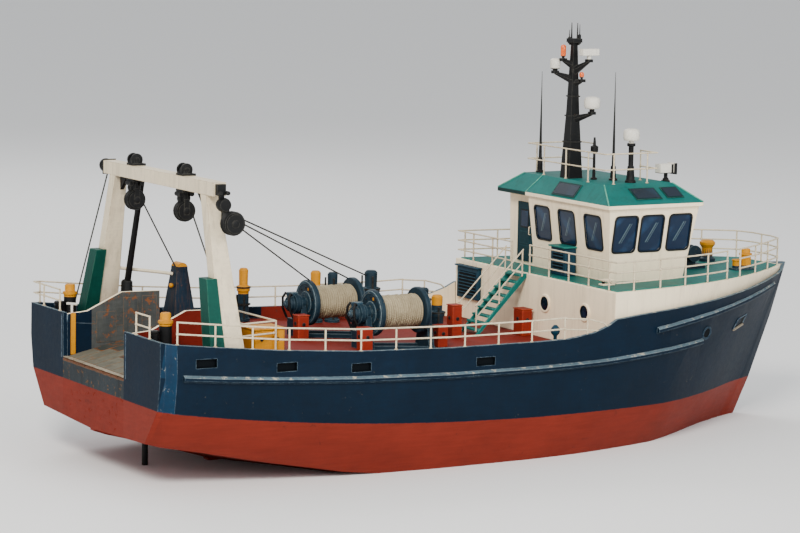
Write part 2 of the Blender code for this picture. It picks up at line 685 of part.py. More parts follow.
def add_railing(bm, path, heights, spacing, rail=RAIL_BAR, post=RAIL_POST):
    """Adds one closed railing: posts and level bars in the upright sheet along a polyline."""
    path = [Vector(point) for point in path]
    lengths = [(end - start).length for start, end in zip(path, path[1:])]
    total = sum(lengths)
    count = max(2, round(total / spacing) + 1)
    centres = [post / 2 + (total - post) * i / (count - 1) for i in range(count)]
    corners = []
    walked = 0.0
    for length in lengths[:-1]:
        walked += length
        corners.append(walked)
    columns = []
    for centre in centres:
        columns.append((centre - post / 2, True))
        columns.append((centre + post / 2, False))
    for corner in corners:
        clear = all(not (low - 0.004 < corner < high + 0.004)
                    for (low, _), (high, _) in zip(columns[0::2], columns[1::2]))
        if clear:
            columns.append((corner, False))
    columns.sort(key=lambda column: column[0])
    levels = [0.0]
    for height in heights:
        levels += [height - rail, height]
    grid = {}

    def vertex(i, j, side):
        key = (i, j, side)
        if key not in grid:
            distance = min(max(columns[i][0], 0.0), total)
            point, _ = path_point(path, distance)
            _, before = path_point(path, max(distance - 0.001, 0.0))
            _, after = path_point(path, min(distance + 0.001, total))
            along = (before + after).normalized()
            normal = Vector((-along.y, along.x, 0.0)).normalized()
            bend = max(0.5, normal.dot(Vector((-after.y, after.x, 0.0)).normalized()))
            offset = normal * (side * rail / 2 / bend)
            grid[key] = bm.verts.new(point + offset + Vector((0.0, 0.0, levels[j])))
        return grid[key]

    def filled(i, j):
        if not (0 <= i < len(columns) - 1 and 0 <= j < len(levels) - 1):
            return False
        return columns[i][1] or j % 2 == 1

    for i in range(len(columns) - 1):
        for j in range(len(levels) - 1):
            if not filled(i, j):
                continue
            for side in (-1, 1):
                ring = ((i, j), (i + 1, j), (i + 1, j + 1), (i, j + 1))
                bm.faces.new([vertex(*corner, side) for corner in ring])
            edges = (((i, j), (i + 1, j), (i, j - 1)), ((i, j + 1), (i + 1, j + 1), (i, j + 1)),
                     ((i, j), (i, j + 1), (i - 1, j)), ((i + 1, j), (i + 1, j + 1), (i + 1, j)))
            for first, second, neighbour in edges:
                if not filled(*neighbour):
                    wall = ((first, -1), (second, -1), (second, 1), (first, 1))
                    bm.faces.new([vertex(*corner, side) for corner, side in wall])


def side_path(x_from, x_to, side, inset, z_of):
    """Polyline along the side of the hull, inside its edge, with a point at every station."""
    xs = station_xs(min(x_from, x_to), max(x_from, x_to))
    if x_from > x_to:
        xs.reverse()
    return [(x, side * (at_station(x, "y_rail") - inset), z_of(x)) for x in xs]


def make_railings():
    """Railings of the main deck, the forecastle and the wheelhouse roof."""
    on_side = SIDE_THICKNESS / 2

    def bulwark_top(x):
        return at_station(x, "z_rail") + RAIL_CROWN + SEAT

    for side, label in ((1, "port"), (-1, "starboard")):
        stern_z = bulwark_top(STERN_RAIL_X) + STERN_RAIL_LIFT
        stern_ys = (STERN_RAIL_END_Y, STERN_RAIL_CORNER_Y) if side > 0 else ()
        path = [(STERN_RAIL_X, side * y, stern_z) for y in stern_ys]
        (x, y, z), *rest = side_path(HULL_STATIONS[1][0], MAIN_RAIL_END_X, side, on_side, bulwark_top)
        path += [(x, y, z + STERN_RAIL_LIFT), *rest]
        bm = bmesh.new()
        add_railing(bm, path, MAIN_RAIL_HEIGHTS, 1.18)
        add_object(f"main_rail_{label}", bm, "cream_paint")
    bm = bmesh.new()
    stern_z = bulwark_top(STERN_RAIL_X) + STERN_RAIL_LIFT
    short = [(STERN_RAIL_X, y, stern_z) for y in SHORT_RAIL_YS]
    add_railing(bm, short, MAIN_RAIL_HEIGHTS, 1.18)
    add_object("stern_rail_starboard", bm, "cream_paint")

    top = FORECASTLE_TOP + SEAT
    edge = SIDE_THICKNESS + RAIL_INSET

    def block_top(_x):
        return top

    aft = FORECASTLE_AFT_X + RAIL_INSET
    corner_y = at_station(aft, "y_rail") - edge
    port = [(aft, STAIR_Y + STAIR_WIDTH / 2 + HANDRAIL_OUT, top)] + side_path(aft, 11.30, 1, edge, block_top)
    bow_y = at_station(11.30, "y_rail") - edge
    port += [(11.46, bow_y * 0.45, top), (11.46, -bow_y * 0.45, top)]
    port += side_path(11.30, 8.40, -1, edge, block_top)
    bm = bmesh.new()
    add_railing(bm, port, FORECASTLE_RAIL_HEIGHTS, 1.12)
    add_object("forecastle_rail_port", bm, "cream_paint")
    starboard = [(aft, STAIR_Y - STAIR_WIDTH / 2 - HANDRAIL_OUT, top), (aft, -corner_y, top)]
    starboard += side_path(aft, 7.70, -1, edge, block_top)[1:]
    bm = bmesh.new()
    add_railing(bm, starboard, FORECASTLE_RAIL_HEIGHTS, 1.12)
    add_object("forecastle_rail_starboard", bm, "cream_paint")

    z = ROOF_TOP_Z + SEAT
    x_low, x_high, half = ROOF_TOP[0][0] + RAIL_INSET, ROOF_RAIL_FORE_X, -ROOF_TOP[0][1] - RAIL_INSET
    loop = [(x_high, -half + ROOF_RAIL_RETURN, z), (x_high, -half, z), (x_low, -half, z), (x_low, half, z),
            (x_high, half, z), (x_high, half - ROOF_RAIL_RETURN, z)]
    bm = bmesh.new()
    add_railing(bm, loop, ROOF_RAIL_HEIGHTS, 1.25, rail=ROOF_RAIL_BAR, post=ROOF_RAIL_POST)
    add_object("roof_rail", bm, "cream_paint")


def make_stairs():
    """Steep green stairs from the main deck to the forecastle, with their handrails."""
    x_top = FORECASTLE_AFT_X - SEAT
    x_foot = x_top - STAIR_RUN
    z_foot = deck_top(x_foot, 0.24) + SEAT
    z_top = FORECASTLE_TOP
    depth = STRING_DEPTH
    string = STRING_WIDTH
    outline = ((x_foot - depth, z_foot), (x_foot + 0.02, z_foot), (x_top, z_top - depth), (x_top, z_top),
               (x_top - depth, z_top))
    pieces = []
    for side in (-1, 1):
        edge = STAIR_Y + side * STAIR_WIDTH / 2
        pieces.append((add_prism, outline, edge - string / 2, edge + string / 2))
    for i in range(STAIR_TREADS):
        share = (i + 0.7) / STAIR_TREADS
        x = x_foot - depth / 2 + STAIR_RUN * share
        z = z_foot + (z_top - z_foot) * share
        low = (x - 0.11, STAIR_Y - STAIR_WIDTH / 2, z - 0.02)
        high = (x + 0.10, STAIR_Y + STAIR_WIDTH / 2, z + 0.02)
        pieces.append((add_box, low, high))
    for side in (1, -1):
        y = STAIR_Y + side * (STAIR_WIDTH / 2 + HANDRAIL_OUT)
        foot = Vector((x_foot - 0.16, y, z_foot + 0.10))
        head = Vector((x_top - 0.16, y, z_top - 0.04))
        lift = Vector((0.0, 0.0, HANDRAIL_HEIGHT))
        mid = Vector((0.0, 0.0, 0.42))
        pieces.append((add_rod, foot + lift, head + lift, 0.022, 8))
        pieces.append((add_rod, foot + mid, head + mid, 0.018, 8))
        for share in (0.02, 0.5, 0.98):
            base = foot.lerp(head, share) + Vector((0.0, side * 0.003, 0.0))
            pieces.append((add_rod, base, base + lift + Vector((0.0, 0.0, 0.01)), 0.024, 7))
        low_y, high_y = sorted((y - side * 0.06, y + side * 0.004))
        for share in (0.02, 0.5, 0.98):
            clip = foot.lerp(head, share)
            low = (clip.x - 0.031, low_y, clip.z - 0.023)
            pieces.append((add_box, low, (clip.x + 0.033, high_y, clip.z + 0.06)))
    fuse("stairs", pieces, "deck_green")


def on_deck(x, y):
    """Point just above the main deck."""
    return (x, y, at_station(x, "z_deck") + SEAT)


def deck_quad(x_low, x_high, y_low, y_high):
    """Outline of a foot that follows the slope of the deck."""
    return [on_deck(x_low, y_low), on_deck(x_high, y_low), on_deck(x_high, y_high), on_deck(x_low, y_high)]


def level_quad(x_low, x_high, y_low, y_high, z):
    """Level outline of the top of a leg."""
    return [(x_low, y_low, z), (x_high, y_low, z), (x_high, y_high, z), (x_low, y_high, z)]


def make_gantry():
    """Stern gantry: a beam on two raking legs with shoes on their aft sides."""
    top = GANTRY_BEAM_Z + GANTRY_BEAM_HEIGHT
    pieces = [(add_box, (GANTRY_X - GANTRY_BEAM_HALF, -GANTRY_BEAM_END_Y, GANTRY_BEAM_Z),
               (GANTRY_X + GANTRY_BEAM_HALF, GANTRY_BEAM_END_Y, top))]
    half = GANTRY_LEG_HALF
    foot_aft, foot_fore = GANTRY_LEG_FOOT
    head_aft, head_fore = GANTRY_LEG_HEAD
    for side in (-1, 1):
        head_y, foot_y = side * GANTRY_HEAD_Y, side * GANTRY_FOOT_Y
        low = deck_quad(foot_aft, foot_fore, foot_y - half, foot_y + half)
        high = level_quad(head_aft, head_fore, head_y - half, head_y + half, GANTRY_BEAM_Z + 0.05)
        pieces.append((add_ring_loft, [low, high]))
        aft_x = foot_aft + (head_aft - foot_aft) * SHOE_SHARE
        shoe_y = foot_y + (head_y - foot_y) * SHOE_SHARE
        shoe_z = low[0][2] + (GANTRY_BEAM_Z - low[0][2]) * SHOE_SHARE
        low = deck_quad(foot_aft - SHOE_FOOT_DEPTH, foot_aft + 0.10, foot_y - SHOE_HALF, foot_y + SHOE_HALF)
        high = level_quad(aft_x - SHOE_HEAD_DEPTH, aft_x + 0.06, shoe_y - SHOE_HALF, shoe_y + SHOE_HALF,
                          shoe_z)
        pieces.append((add_ring_loft, [low, high]))
    fuse("gantry", pieces, "cream_paint")


def make_gantry_stays():
    """Stays from the deck to the beam, each on a cone and bolted to the beam's fore face."""
    for label, foot_x, foot_y, head_y in STAYS:
        foot = Vector((foot_x, foot_y, deck_top(foot_x, STAY_CONE_RADIUS) + SEAT))
        head = Vector((STAY_HEAD_X, head_y, GANTRY_BEAM_Z + 0.02))
        collar = foot + Vector((0.0, 0.0, 0.85))
        beam_face = GANTRY_X + GANTRY_BEAM_HALF + SEAT
        wide = STAY_CONE_RADIUS
        pieces = [
            (add_turned, ((0.0, wide), (0.82, wide - 0.11), (0.86, wide - 0.16)), foot,
             foot + Vector((0.0, 0.0, 1.0)), 12),
            (add_turned, ((0.0, 0.18), (0.34, 0.17), (0.40, 0.12)), collar - Vector((0.0, 0.0, 0.06)),
             collar + Vector((0.0, 0.0, 1.0)), 12),
            (add_rod, collar + Vector((0.0, 0.0, 0.15)), head, 0.10, 12, 0.08),
            (add_box, (beam_face, head_y - 0.08, head.z - 0.04),
             (STAY_HEAD_X + 0.08, head_y + 0.08, head.z + 0.26)),
        ]
        fuse(f"gantry_stay_{label}", pieces, "black_steel")


def make_blocks():
    """Trawl blocks: a bracket over the beam, a swivel and a sheave between cheeks."""
    for label, y in BLOCKS:
        low = GANTRY_BEAM_Z - SEAT
        top = GANTRY_BEAM_Z + GANTRY_BEAM_HEIGHT + SEAT
        x = GANTRY_X
        reach = GANTRY_BEAM_HALF + SEAT
        pieces = [
            (add_box, (x - BLOCK_PLATE_REACH, y - 0.22, top), (x + reach + 0.05, y + 0.22, top + 0.06)),
            (add_turned, ((0.0, 0.20), (0.16, 0.15), (0.26, 0.06)), (x, y, top + 0.04),
             (x, y, top + 1.0), 12),
            (add_box, (x + reach, y - 0.20, low - 0.10), (x + reach + 0.05, y + 0.20, top + 0.05)),
            (add_box, (x - BLOCK_PLATE_REACH, y - 0.20, low - 0.10), (x + reach + 0.05, y + 0.20, low)),
            (add_turned, ((0.0, 0.13), (0.30, 0.13)), (x, y, low - 0.36), (x, y, low), 10),
            (add_turned, ((0.0, 0.29), (0.06, 0.31), (0.11, 0.24), (0.15, 0.24), (0.20, 0.31), (0.26, 0.29)),
             (x, y - 0.13, low - 0.62), (x, y + 0.5, low - 0.62), 20),
        ]
        fuse(f"trawl_block_{label}", pieces, "black_steel")
    y = -(GANTRY_BEAM_END_Y + SEAT)
    x = GANTRY_X
    z = GANTRY_BEAM_Z + 0.20
    sheave_x, sheave_z = OUTER_SHEAVE
    pieces = [
        (add_box, (x - 0.14, y - 0.12, z - 0.16), (x + 0.14, y, z + 0.14)),
        (add_turned, ((0.0, 0.17), (0.10, 0.20), (0.22, 0.20), (0.30, 0.17)), (x + 0.02, y - 0.05, z - 0.42),
         (x + 0.02, y - 1.0, z - 0.42), 14),
        (add_box, (x - 0.05, y - 0.12, z - 0.50), (x + 0.09, y - 0.02, z - 0.10)),
        (add_box, (x - 0.02, y - 0.30, z - 0.86), (x + 0.16, y - 0.14, z - 0.42)),
        (add_turned, ((0.0, 0.31), (0.07, 0.34), (0.13, 0.27), (0.19, 0.27), (0.25, 0.34), (0.32, 0.31)),
         (x + sheave_x, y - 0.23, z + sheave_z), (x + sheave_x, y - 2.0, z + sheave_z), 20),
    ]
    fuse("trawl_block_outer", pieces, "black_steel")


def make_net_drums():
    """Net drums on shafts along X, their rope packs, stands with bearings, and control boxes."""
    for label, x, y in DRUMS:
        z = DRUM_AXIS_Z
        half = DRUM_HALF_LENGTH
        flange, barrel, shaft = DRUM_FLANGE_RADIUS, DRUM_BARREL_RADIUS, DRUM_SHAFT_RADIUS
        near = ((0.0, shaft), (0.26, shaft), (0.262, 0.16), (0.30, 0.16), (0.302, flange - 0.03),
                (0.33, flange), (0.43, flange), (0.46, flange - 0.03), (0.462, barrel))
        whole = 2 * half + 0.60
        profile = near + tuple((whole - distance, radius) for distance, radius in reversed(near))
        start = (x - half - 0.30, y, z)
        bm = bmesh.new()
        add_turned(bm, profile, start, (x + 5, y, z), DRUM_SIDES)
        add_object(f"net_drum_{label}", bm, "machine_blue", (x, y, z))
        length = 2 * (half - DRUM_ROPE_END)
        hole = barrel + SEAT
        profile = ((0.0, hole), (0.0, DRUM_ROPE_RADIUS), (length, DRUM_ROPE_RADIUS), (length, hole))
        bm = bmesh.new()
        add_turned(bm, profile, (x - half + DRUM_ROPE_END, y, z), (x + 5, y, z), DRUM_SIDES, closed=True)
        add_object(f"net_rope_{label}", bm, "rope", (x, y, z))
        make_drum_stand(label, x, y, z)


def make_drum_stand(label, x, y, z):
    """Base frame with a bearing at each end of a drum and the motor on the aft one."""
    half = DRUM_HALF_LENGTH
    aft, fore = x - half - 0.17, x + half + 0.17
    deck = at_station(aft, "z_deck") + SEAT
    body = []
    for centre in (aft, fore):
        foot_z = at_station(centre, "z_deck") + 0.04
        low = level_quad(centre - 0.09, centre + 0.09, y - 0.42, y + 0.42, foot_z)
        high = level_quad(centre - 0.09, centre + 0.09, y - 0.16, y + 0.16, z)
        body.append((add_ring_loft, [low, high]))
        bearing = ((0.0, 0.19), (0.20, 0.19))
        body.append((add_turned, bearing, (centre - 0.10, y, z), (centre + 1.0, y, z), 20))
    for side in (-1, 1):
        low = deck_quad(aft - 0.12, fore + 0.12, y + side * 0.34 - 0.06, y + side * 0.34 + 0.06)
        high = [(px, py, pz + 0.12) for px, py, pz in low]
        body.append((add_ring_loft, [low, high]))
    motor = ((0.0, 0.17), (0.05, 0.22), (0.16, 0.22), (0.18, 0.30), (0.30, 0.30), (0.32, 0.26), (0.40, 0.26))
    body.append((add_turned, motor, (aft - 0.46, y, z), (aft, y, z), 20))
    body.append((add_box, (aft - 0.31, y - 0.25, deck + 0.03), (aft - 0.05, y + 0.25, deck + 0.53)))
    made = [solid(build, *details) for build, *details in body]
    stand = combine("stand_blank", made[0], made[1:], "machine_blue")
    bore_radius = (DRUM_SHAFT_RADIUS + SEAT) / math.cos(math.pi / DRUM_SIDES)
    bore = solid(add_turned, ((0.0, bore_radius), (2 * half + 0.66, bore_radius)),
                 (x - half - 0.33, y, z), (x + 5, y, z), DRUM_SIDES)
    combine(f"drum_stand_{label}", stand, [bore], "machine_blue", "DIFFERENCE")


def make_deck_boxes():
    """Plain boxes on the main deck."""
    for name, x, y, length, width, height, material in DECK_BOXES:
        lift = deck_top(x, length / 2 - BOX_BEVEL) + SEAT
        low = (x - length / 2, y - width / 2, lift)
        high = (x + length / 2, y + width / 2, lift + height)
        bm = bmesh.new()
        add_box(bm, low, high)
        bmesh.ops.bevel(bm, geom=bm.edges, offset=BOX_BEVEL, segments=1, affect="EDGES")
        add_object(name, bm, material)


def make_deck_posts():
    """Turned posts and reels on the main deck."""
    for name, x, y, radius, height, material in DECK_POSTS:
        z = deck_top(x, radius * 1.25) + SEAT
        profile = ((0.0, radius * 1.25), (0.08, radius * 1.25), (0.10, radius), (height * 0.55, radius),
                   (height * 0.57, radius * 1.2), (height * 0.66, radius * 1.2),
                   (height * 0.68, radius * 0.8),
                   (height * 0.96, radius * 0.85), (height, radius * 0.6))
        bm = bmesh.new()
        add_turned(bm, profile, (x, y, z), (x, y, z + 5), 16)
        add_object(name, bm, material)


def make_bitts():
    """Twin mooring bitts on a common foot."""
    reach_x, reach_y, plate = BITT_FOOT
    for name, x, y, level, height, material in BITTS:
        z = (deck_top(x, reach_x) if level is None else level) + SEAT
        pieces = [(add_box, (x - reach_x, y - reach_y, z), (x + reach_x, y + reach_y, z + plate))]
        for step, shares in BITT_STEPS:
            profile = [(share * height, radius) for share, radius in shares]
            pieces.append((add_turned, profile, (x + step, y, z + 0.04), (x + step, y, z + 5), 14))
        fuse(name, pieces, material)


def make_tower():
    """Fairlead tower at the head of the ramp."""
    x, y = TOWER
    foot_x, foot_y = TOWER_FOOT
    head_x, head_y = TOWER_HEAD
    low = deck_quad(x - foot_x, x + foot_x, y - foot_y, y + foot_y)
    top = low[0][2] + TOWER_HEIGHT
    high = level_quad(x - head_x, x + head_x, y - head_y, y + head_y, top)
    pieces = [
        (add_ring_loft, [low, high]),
        (add_turned, ((0.0, head_x), (0.44, head_x)), (x, y - 0.22, top), (x, y + 1, top), 16),
    ]
    fuse("fairlead_tower", pieces, "machine_blue")


def make_mast():
    """Tapered mast with its arms, the lamps' brackets and the head."""
    z = ROOF_TOP_Z + SEAT
    x, y = MAST_X, MAST_Y
    pieces = []
    rings = [[(px, py, z + lift) for px, py in square(x, y, half)] for lift, half in MAST_SECTIONS]
    pieces.append((add_ring_loft, rings))
    for along, arm_z, lift in MAST_ARMS:
        tip = Vector((x + along * ARM_DIRECTION[0], y + along * ARM_DIRECTION[1], arm_z + lift))
        pieces.append((add_rod, (x, y, arm_z - 0.03), tip, ARM_ROOT_RADIUS, 6, ARM_TIP_RADIUS))
        reach = Vector((ARM_TABLE, ARM_TABLE, 0.0))
        pieces.append((add_box, tip - reach - Vector((0.0, 0.0, 0.02)),
                       tip + reach + Vector((0.0, 0.0, 0.07))))
    pieces.append((add_box, (x - 0.16, y - 0.20, MAST_TOP_Z - 0.10), (x + 0.16, y + 0.20, MAST_TOP_Z + 0.02)))
    for dy in (-0.16, 0.16):
        spike_foot = (x, y + dy, MAST_TOP_Z - 0.02)
        pieces.append((add_rod, spike_foot, (x, y + dy, MAST_TOP_Z + 0.50), 0.03, 8, 0.012))
    fuse("mast", pieces, "black_steel")


def square(x, y, half):
    """Square outline about a point."""
    return ((x - half, y - half), (x + half, y - half), (x + half, y + half), (x - half, y + half))


def arm_tip(index):
    """Top centre of the small table at the end of an arm."""
    along, arm_z, lift = MAST_ARMS[index]
    return Vector((MAST_X + along * ARM_DIRECTION[0], MAST_Y + along * ARM_DIRECTION[1], arm_z + lift + 0.07))


def roof_slope(x):
    """Height of the roof's fore slope at x."""
    top_x, eave_x = ROOF_TOP[1][0], ROOF_EAVE[1][0]
    eave_z = WHEELHOUSE_EAVE_Z + SEAT + ROOF_EDGE_HEIGHT
    return ROOF_TOP_Z + (eave_z - ROOF_TOP_Z) * (x - top_x) / (eave_x - top_x)


def make_mast_gear():
    """Radomes, scanner and the searchlight on its foot."""
    seat = Vector((0.0, 0.0, SEAT))
    dome = ((0.0, 0.08), (0.08, 0.08), (0.10, 0.22), (0.16, 0.25), (0.34, 0.25), (0.42, 0.22), (0.46, 0.12))
    bm = bmesh.new()
    base = arm_tip(0) + seat
    add_turned(bm, dome, base, base + Vector((0, 0, 1)), 18)
    add_object("radome_low", bm, "radome_white")
    head = arm_tip(2) + seat
    pieces = [
        (add_turned, ((0.0, 0.07), (0.14, 0.07)), head, head + Vector((0.0, 0.0, 1.0)), 12),
        (add_box, head + Vector((-0.30, -0.12, 0.12)), head + Vector((0.30, 0.12, 0.32))),
    ]
    fuse("radar_scanner", pieces, "radome_white", head)

    z = ROOF_TOP_Z + SEAT
    x, y = SATELLITE_DOME
    neck = PEDESTAL_HEIGHT - 0.08
    pedestal = ((0.0, 0.17), (0.05, 0.17), (0.10, 0.13), (0.50, 0.10), (0.52, 0.08), (neck - 0.02, 0.08),
                (neck, 0.13), (PEDESTAL_HEIGHT, 0.13))
    pieces = [
        (add_turned, pedestal, (x, y, z), (x, y, z + 5), 14),
        (add_turned, dome, (x, y, z + PEDESTAL_HEIGHT - 0.01), (x, y, z + 5), 18),
    ]
    fuse("satellite_dome", pieces, "radome_white")
    x, y = SEARCHLIGHT
    half = SEARCHLIGHT_FOOT_HALF
    bm = bmesh.new()
    low = [(px, py, roof_slope(px) + SEAT) for px, py in square(x, y, half)]
    add_ring_loft(bm, [low, [(px, py, SEARCHLIGHT_Z) for px, py in square(x, y, half)]])
    add_object("searchlight_foot", bm, "black_steel")
    lamp_z = SEARCHLIGHT_Z + SEAT
    pivot = ((0.0, 0.10), (0.04, 0.10), (0.08, 0.06), (0.26, 0.06))
    pieces = [
        (add_turned, pivot, (x, y, lamp_z), (x, y, lamp_z + 5), 12),
        (add_box, (x - 0.30, y - 0.15, lamp_z + 0.22), (x + 0.20, y + 0.15, lamp_z + 0.50)),
        (add_box, (x + 0.18, y - 0.18, lamp_z + 0.19), (x + 0.30, y + 0.18, lamp_z + 0.53)),
    ]
    fuse("searchlight", pieces, "radome_white", (x, y, lamp_z))


def make_bow_gear():
    """Capstan and anchor windlass on the forecastle."""
    z = FORECASTLE_DECK_Z + SEAT
    x, y = CAPSTAN
    profile = ((0.0, 0.26), (0.10, 0.26), (0.14, 0.18), (0.44, 0.17), (0.54, 0.25), (0.62, 0.25),
               (0.68, 0.18))
    bm = bmesh.new()
    add_turned(bm, profile, (x, y, z), (x, y, z + 5), 18)
    add_object("capstan", bm, "machine_blue", (x, y, z))
    wx = WINDLASS_X
    shaft_z = z + WINDLASS_SHAFT_RISE
    pieces = [(add_box, (wx - 0.40, -1.00, z), (wx + 0.40, 1.00, z + 0.12))]
    for side in (-1, 1):
        cheek_y = side * 0.62
        pieces.append((add_box, (wx - 0.22, cheek_y - 0.10, z + 0.10), (wx + 0.22, cheek_y + 0.10, z + 0.62)))
        low, high = sorted((side * 0.70, side * 0.98))
        gypsy = ((0.0, 0.26), (0.05, 0.26), (0.10, 0.19), (0.18, 0.19), (0.23, 0.26), (0.28, 0.26))
        pieces.append((add_turned, gypsy, (wx, low, shaft_z), (wx, low + 1, shaft_z), 18))
    pieces.append((add_turned, ((0.0, 0.10), (1.3, 0.10)), (wx, -0.65, shaft_z), (wx, 2.0, shaft_z), 14))
    fuse("windlass", pieces, "machine_blue")


def make_house_fittings():
    """Louvre on the forecastle's aft wall and the locker behind the wheelhouse."""
    x = FORECASTLE_AFT_X - SEAT
    bm = bmesh.new()
    add_box(bm, (x - VENT_DEPTH, VENT_Y[0], VENT_Z[0]), (x, VENT_Y[1], VENT_Z[1]))
    bmesh.ops.bevel(bm, geom=bm.edges, offset=BOX_BEVEL, segments=1, affect="EDGES")
    add_object("engine_room_vent", bm, "machine_blue")
    z = FORECASTLE_DECK_Z + SEAT
    bm = bmesh.new()
    (x_low, y_low), (x_high, y_high), height = LOCKER
    add_box(bm, (x_low, y_low, z), (x_high, y_high, z + height))
    bmesh.ops.bevel(bm, geom=bm.edges, offset=BOX_BEVEL, segments=1, affect="EDGES")
    add_object("deck_locker", bm, "machine_blue")


def add_blade(bm, turn):
    """One propeller blade, a twisted leaf, in the propeller's own place."""
    sections = ((0.14, 0.30, 52.0), (0.40, 0.46, 38.0), (0.62, 0.48, 28.0), (0.78, 0.34, 23.0),
                (0.85, 0.10, 20.0))
    rings = []
    for radius, chord, pitch in sections:
        angle = math.radians(pitch)
        thick = 0.045 * (1.1 - radius)
        ring = []
        for along, across in ((-0.5, 0.0), (0.0, 0.5), (0.5, 0.0), (0.0, -0.5)):
            a = along * chord
            b = across * 2 * thick
            fore = a * math.sin(angle) + b * math.cos(angle)
            side = a * math.cos(angle) - b * math.sin(angle)
            point = Vector((fore, side, radius))
            ring.append(Matrix.Rotation(turn, 4, "X") @ point + Vector((PROPELLER_X, 0.0, SHAFT_Z)))
        rings.append(ring)
    add_ring_loft(bm, rings)


def make_underwater():
    """Propeller with its tail shaft, and the rudder."""
    shaft_end = SKEG_END_X - SEAT
    pieces = [(add_turned, ((0.0, 0.06), (0.08, 0.13), (0.18, 0.17), (0.42, 0.18), (0.44, 0.10),
                            (shaft_end - PROPELLER_X + 0.28, 0.10)),
               (PROPELLER_X - 0.28, 0.0, SHAFT_Z), (0.0, 0.0, SHAFT_Z), 18)]
    for i in range(BLADE_COUNT):
        pieces.append((add_blade, math.tau * i / BLADE_COUNT))
    fuse("propeller", pieces, "bronze", (PROPELLER_X, 0.0, SHAFT_Z))

    hull_z = at_station(RUDDER_X, "z_rabbet") - 0.05
    heel_z = HEEL_TOP + SEAT
    half = ((0.10, 0.10), (-0.40, 0.07), (-1.15, 0.015))
    leaf = [(RUDDER_X + 0.28, 0.0), *((RUDDER_X + along, across) for along, across in half),
            *((RUDDER_X + along, -across) for along, across in reversed(half))]
    pieces = [
        (add_frustum, leaf, RUDDER_BOTTOM, leaf, RUDDER_TOP),
        (add_turned, ((0.0, 0.08), (0.10, 0.08)), (RUDDER_X, 0.0, heel_z), (RUDDER_X, 0.0, 5.0), 14),
        (add_turned, ((0.0, 0.09), (hull_z - 0.03 - (RUDDER_TOP - 0.10), 0.09)),
         (RUDDER_X, 0.0, RUDDER_TOP - 0.10), (RUDDER_X, 0.0, 5.0), 16),
    ]
    fuse("rudder", pieces, "antifouling", (RUDDER_X, 0.0, HEEL_TOP))


def main():
    """Builds every piece of the trawler."""
    make_hull()
    make_ramp()
    make_forecastle()
    make_wheelhouse()
    make_wheelhouse_door()
    make_railings()
    make_stairs()
    make_gantry()
    make_gantry_stays()
    make_blocks()
    make_net_drums()
    make_deck_boxes()
    make_deck_posts()
    make_bitts()
    make_tower()
    make_mast()
    make_mast_gear()
    make_bow_gear()
    make_house_fittings()
    make_underwater()


main()
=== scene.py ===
"""Looks of the stern trawler: weathered paint, glass, round railings, rope, rigging and deck fittings.

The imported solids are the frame. Most of them are copied with softened edges and repainted, and the
railings, rope packs, stairs and windows are made here around the solids that they stand for.
"""
from __future__ import annotations

import logging
import math
from dataclasses import dataclass
from enum import Enum
from typing import Callable, Optional, Sequence

import bmesh
import bpy
from mathutils import Matrix, Vector
from mathutils.bvhtree import BVHTree


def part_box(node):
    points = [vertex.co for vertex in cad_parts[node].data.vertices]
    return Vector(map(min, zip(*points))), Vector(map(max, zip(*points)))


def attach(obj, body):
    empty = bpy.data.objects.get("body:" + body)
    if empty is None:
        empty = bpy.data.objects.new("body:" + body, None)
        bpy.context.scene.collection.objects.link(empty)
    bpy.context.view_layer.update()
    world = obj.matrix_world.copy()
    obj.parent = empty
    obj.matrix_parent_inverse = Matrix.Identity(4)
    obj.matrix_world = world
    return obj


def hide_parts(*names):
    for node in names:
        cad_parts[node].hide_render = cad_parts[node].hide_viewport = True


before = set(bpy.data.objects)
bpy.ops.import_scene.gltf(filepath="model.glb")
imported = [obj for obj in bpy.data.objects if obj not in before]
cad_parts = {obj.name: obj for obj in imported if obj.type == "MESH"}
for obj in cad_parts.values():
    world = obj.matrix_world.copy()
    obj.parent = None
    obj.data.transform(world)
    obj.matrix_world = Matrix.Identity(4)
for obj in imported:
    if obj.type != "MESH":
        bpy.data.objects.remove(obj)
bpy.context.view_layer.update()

LOG = logging.getLogger("trawler")
Point = Sequence[float]
Colour = tuple[float, ...]
FORE, PORTWARD, UP = Vector((1.0, 0.0, 0.0)), Vector((0.0, 1.0, 0.0)), Vector((0.0, 0.0, 1.0))


class Body(str, Enum):
    """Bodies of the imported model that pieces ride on."""

    VESSEL = "vessel"
    DRUM_INNER = "net_drum_inner"
    DRUM_OUTER = "net_drum_outer"
    PROPELLER = "propeller"
    RUDDER = "rudder"
    SCANNER = "radar_scanner"
    SEARCHLIGHT = "searchlight"
    CAPSTAN = "capstan"
    DOOR = "wheelhouse_door"


class Side(Enum):
    """The two sides of the vessel, as the sign of Y."""

    PORT = 1
    STARBOARD = -1

    @property
    def label(self) -> str:
        """Returns the side's name in the names of pieces."""
        return self.name.lower()


def screen(code: str) -> Colour:
    """Returns the linear colour, with full alpha, of a screen colour in six hexadecimal digits."""
    def linear(value: int) -> float:
        """Returns one channel as linear light."""
        share = value / 255
        return share / 12.92 if share <= 0.04045 else ((share + 0.055) / 1.055) ** 2.4
    return (*(linear(int(code[i:i + 2], 16)) for i in (0, 2, 4)), 1.0)


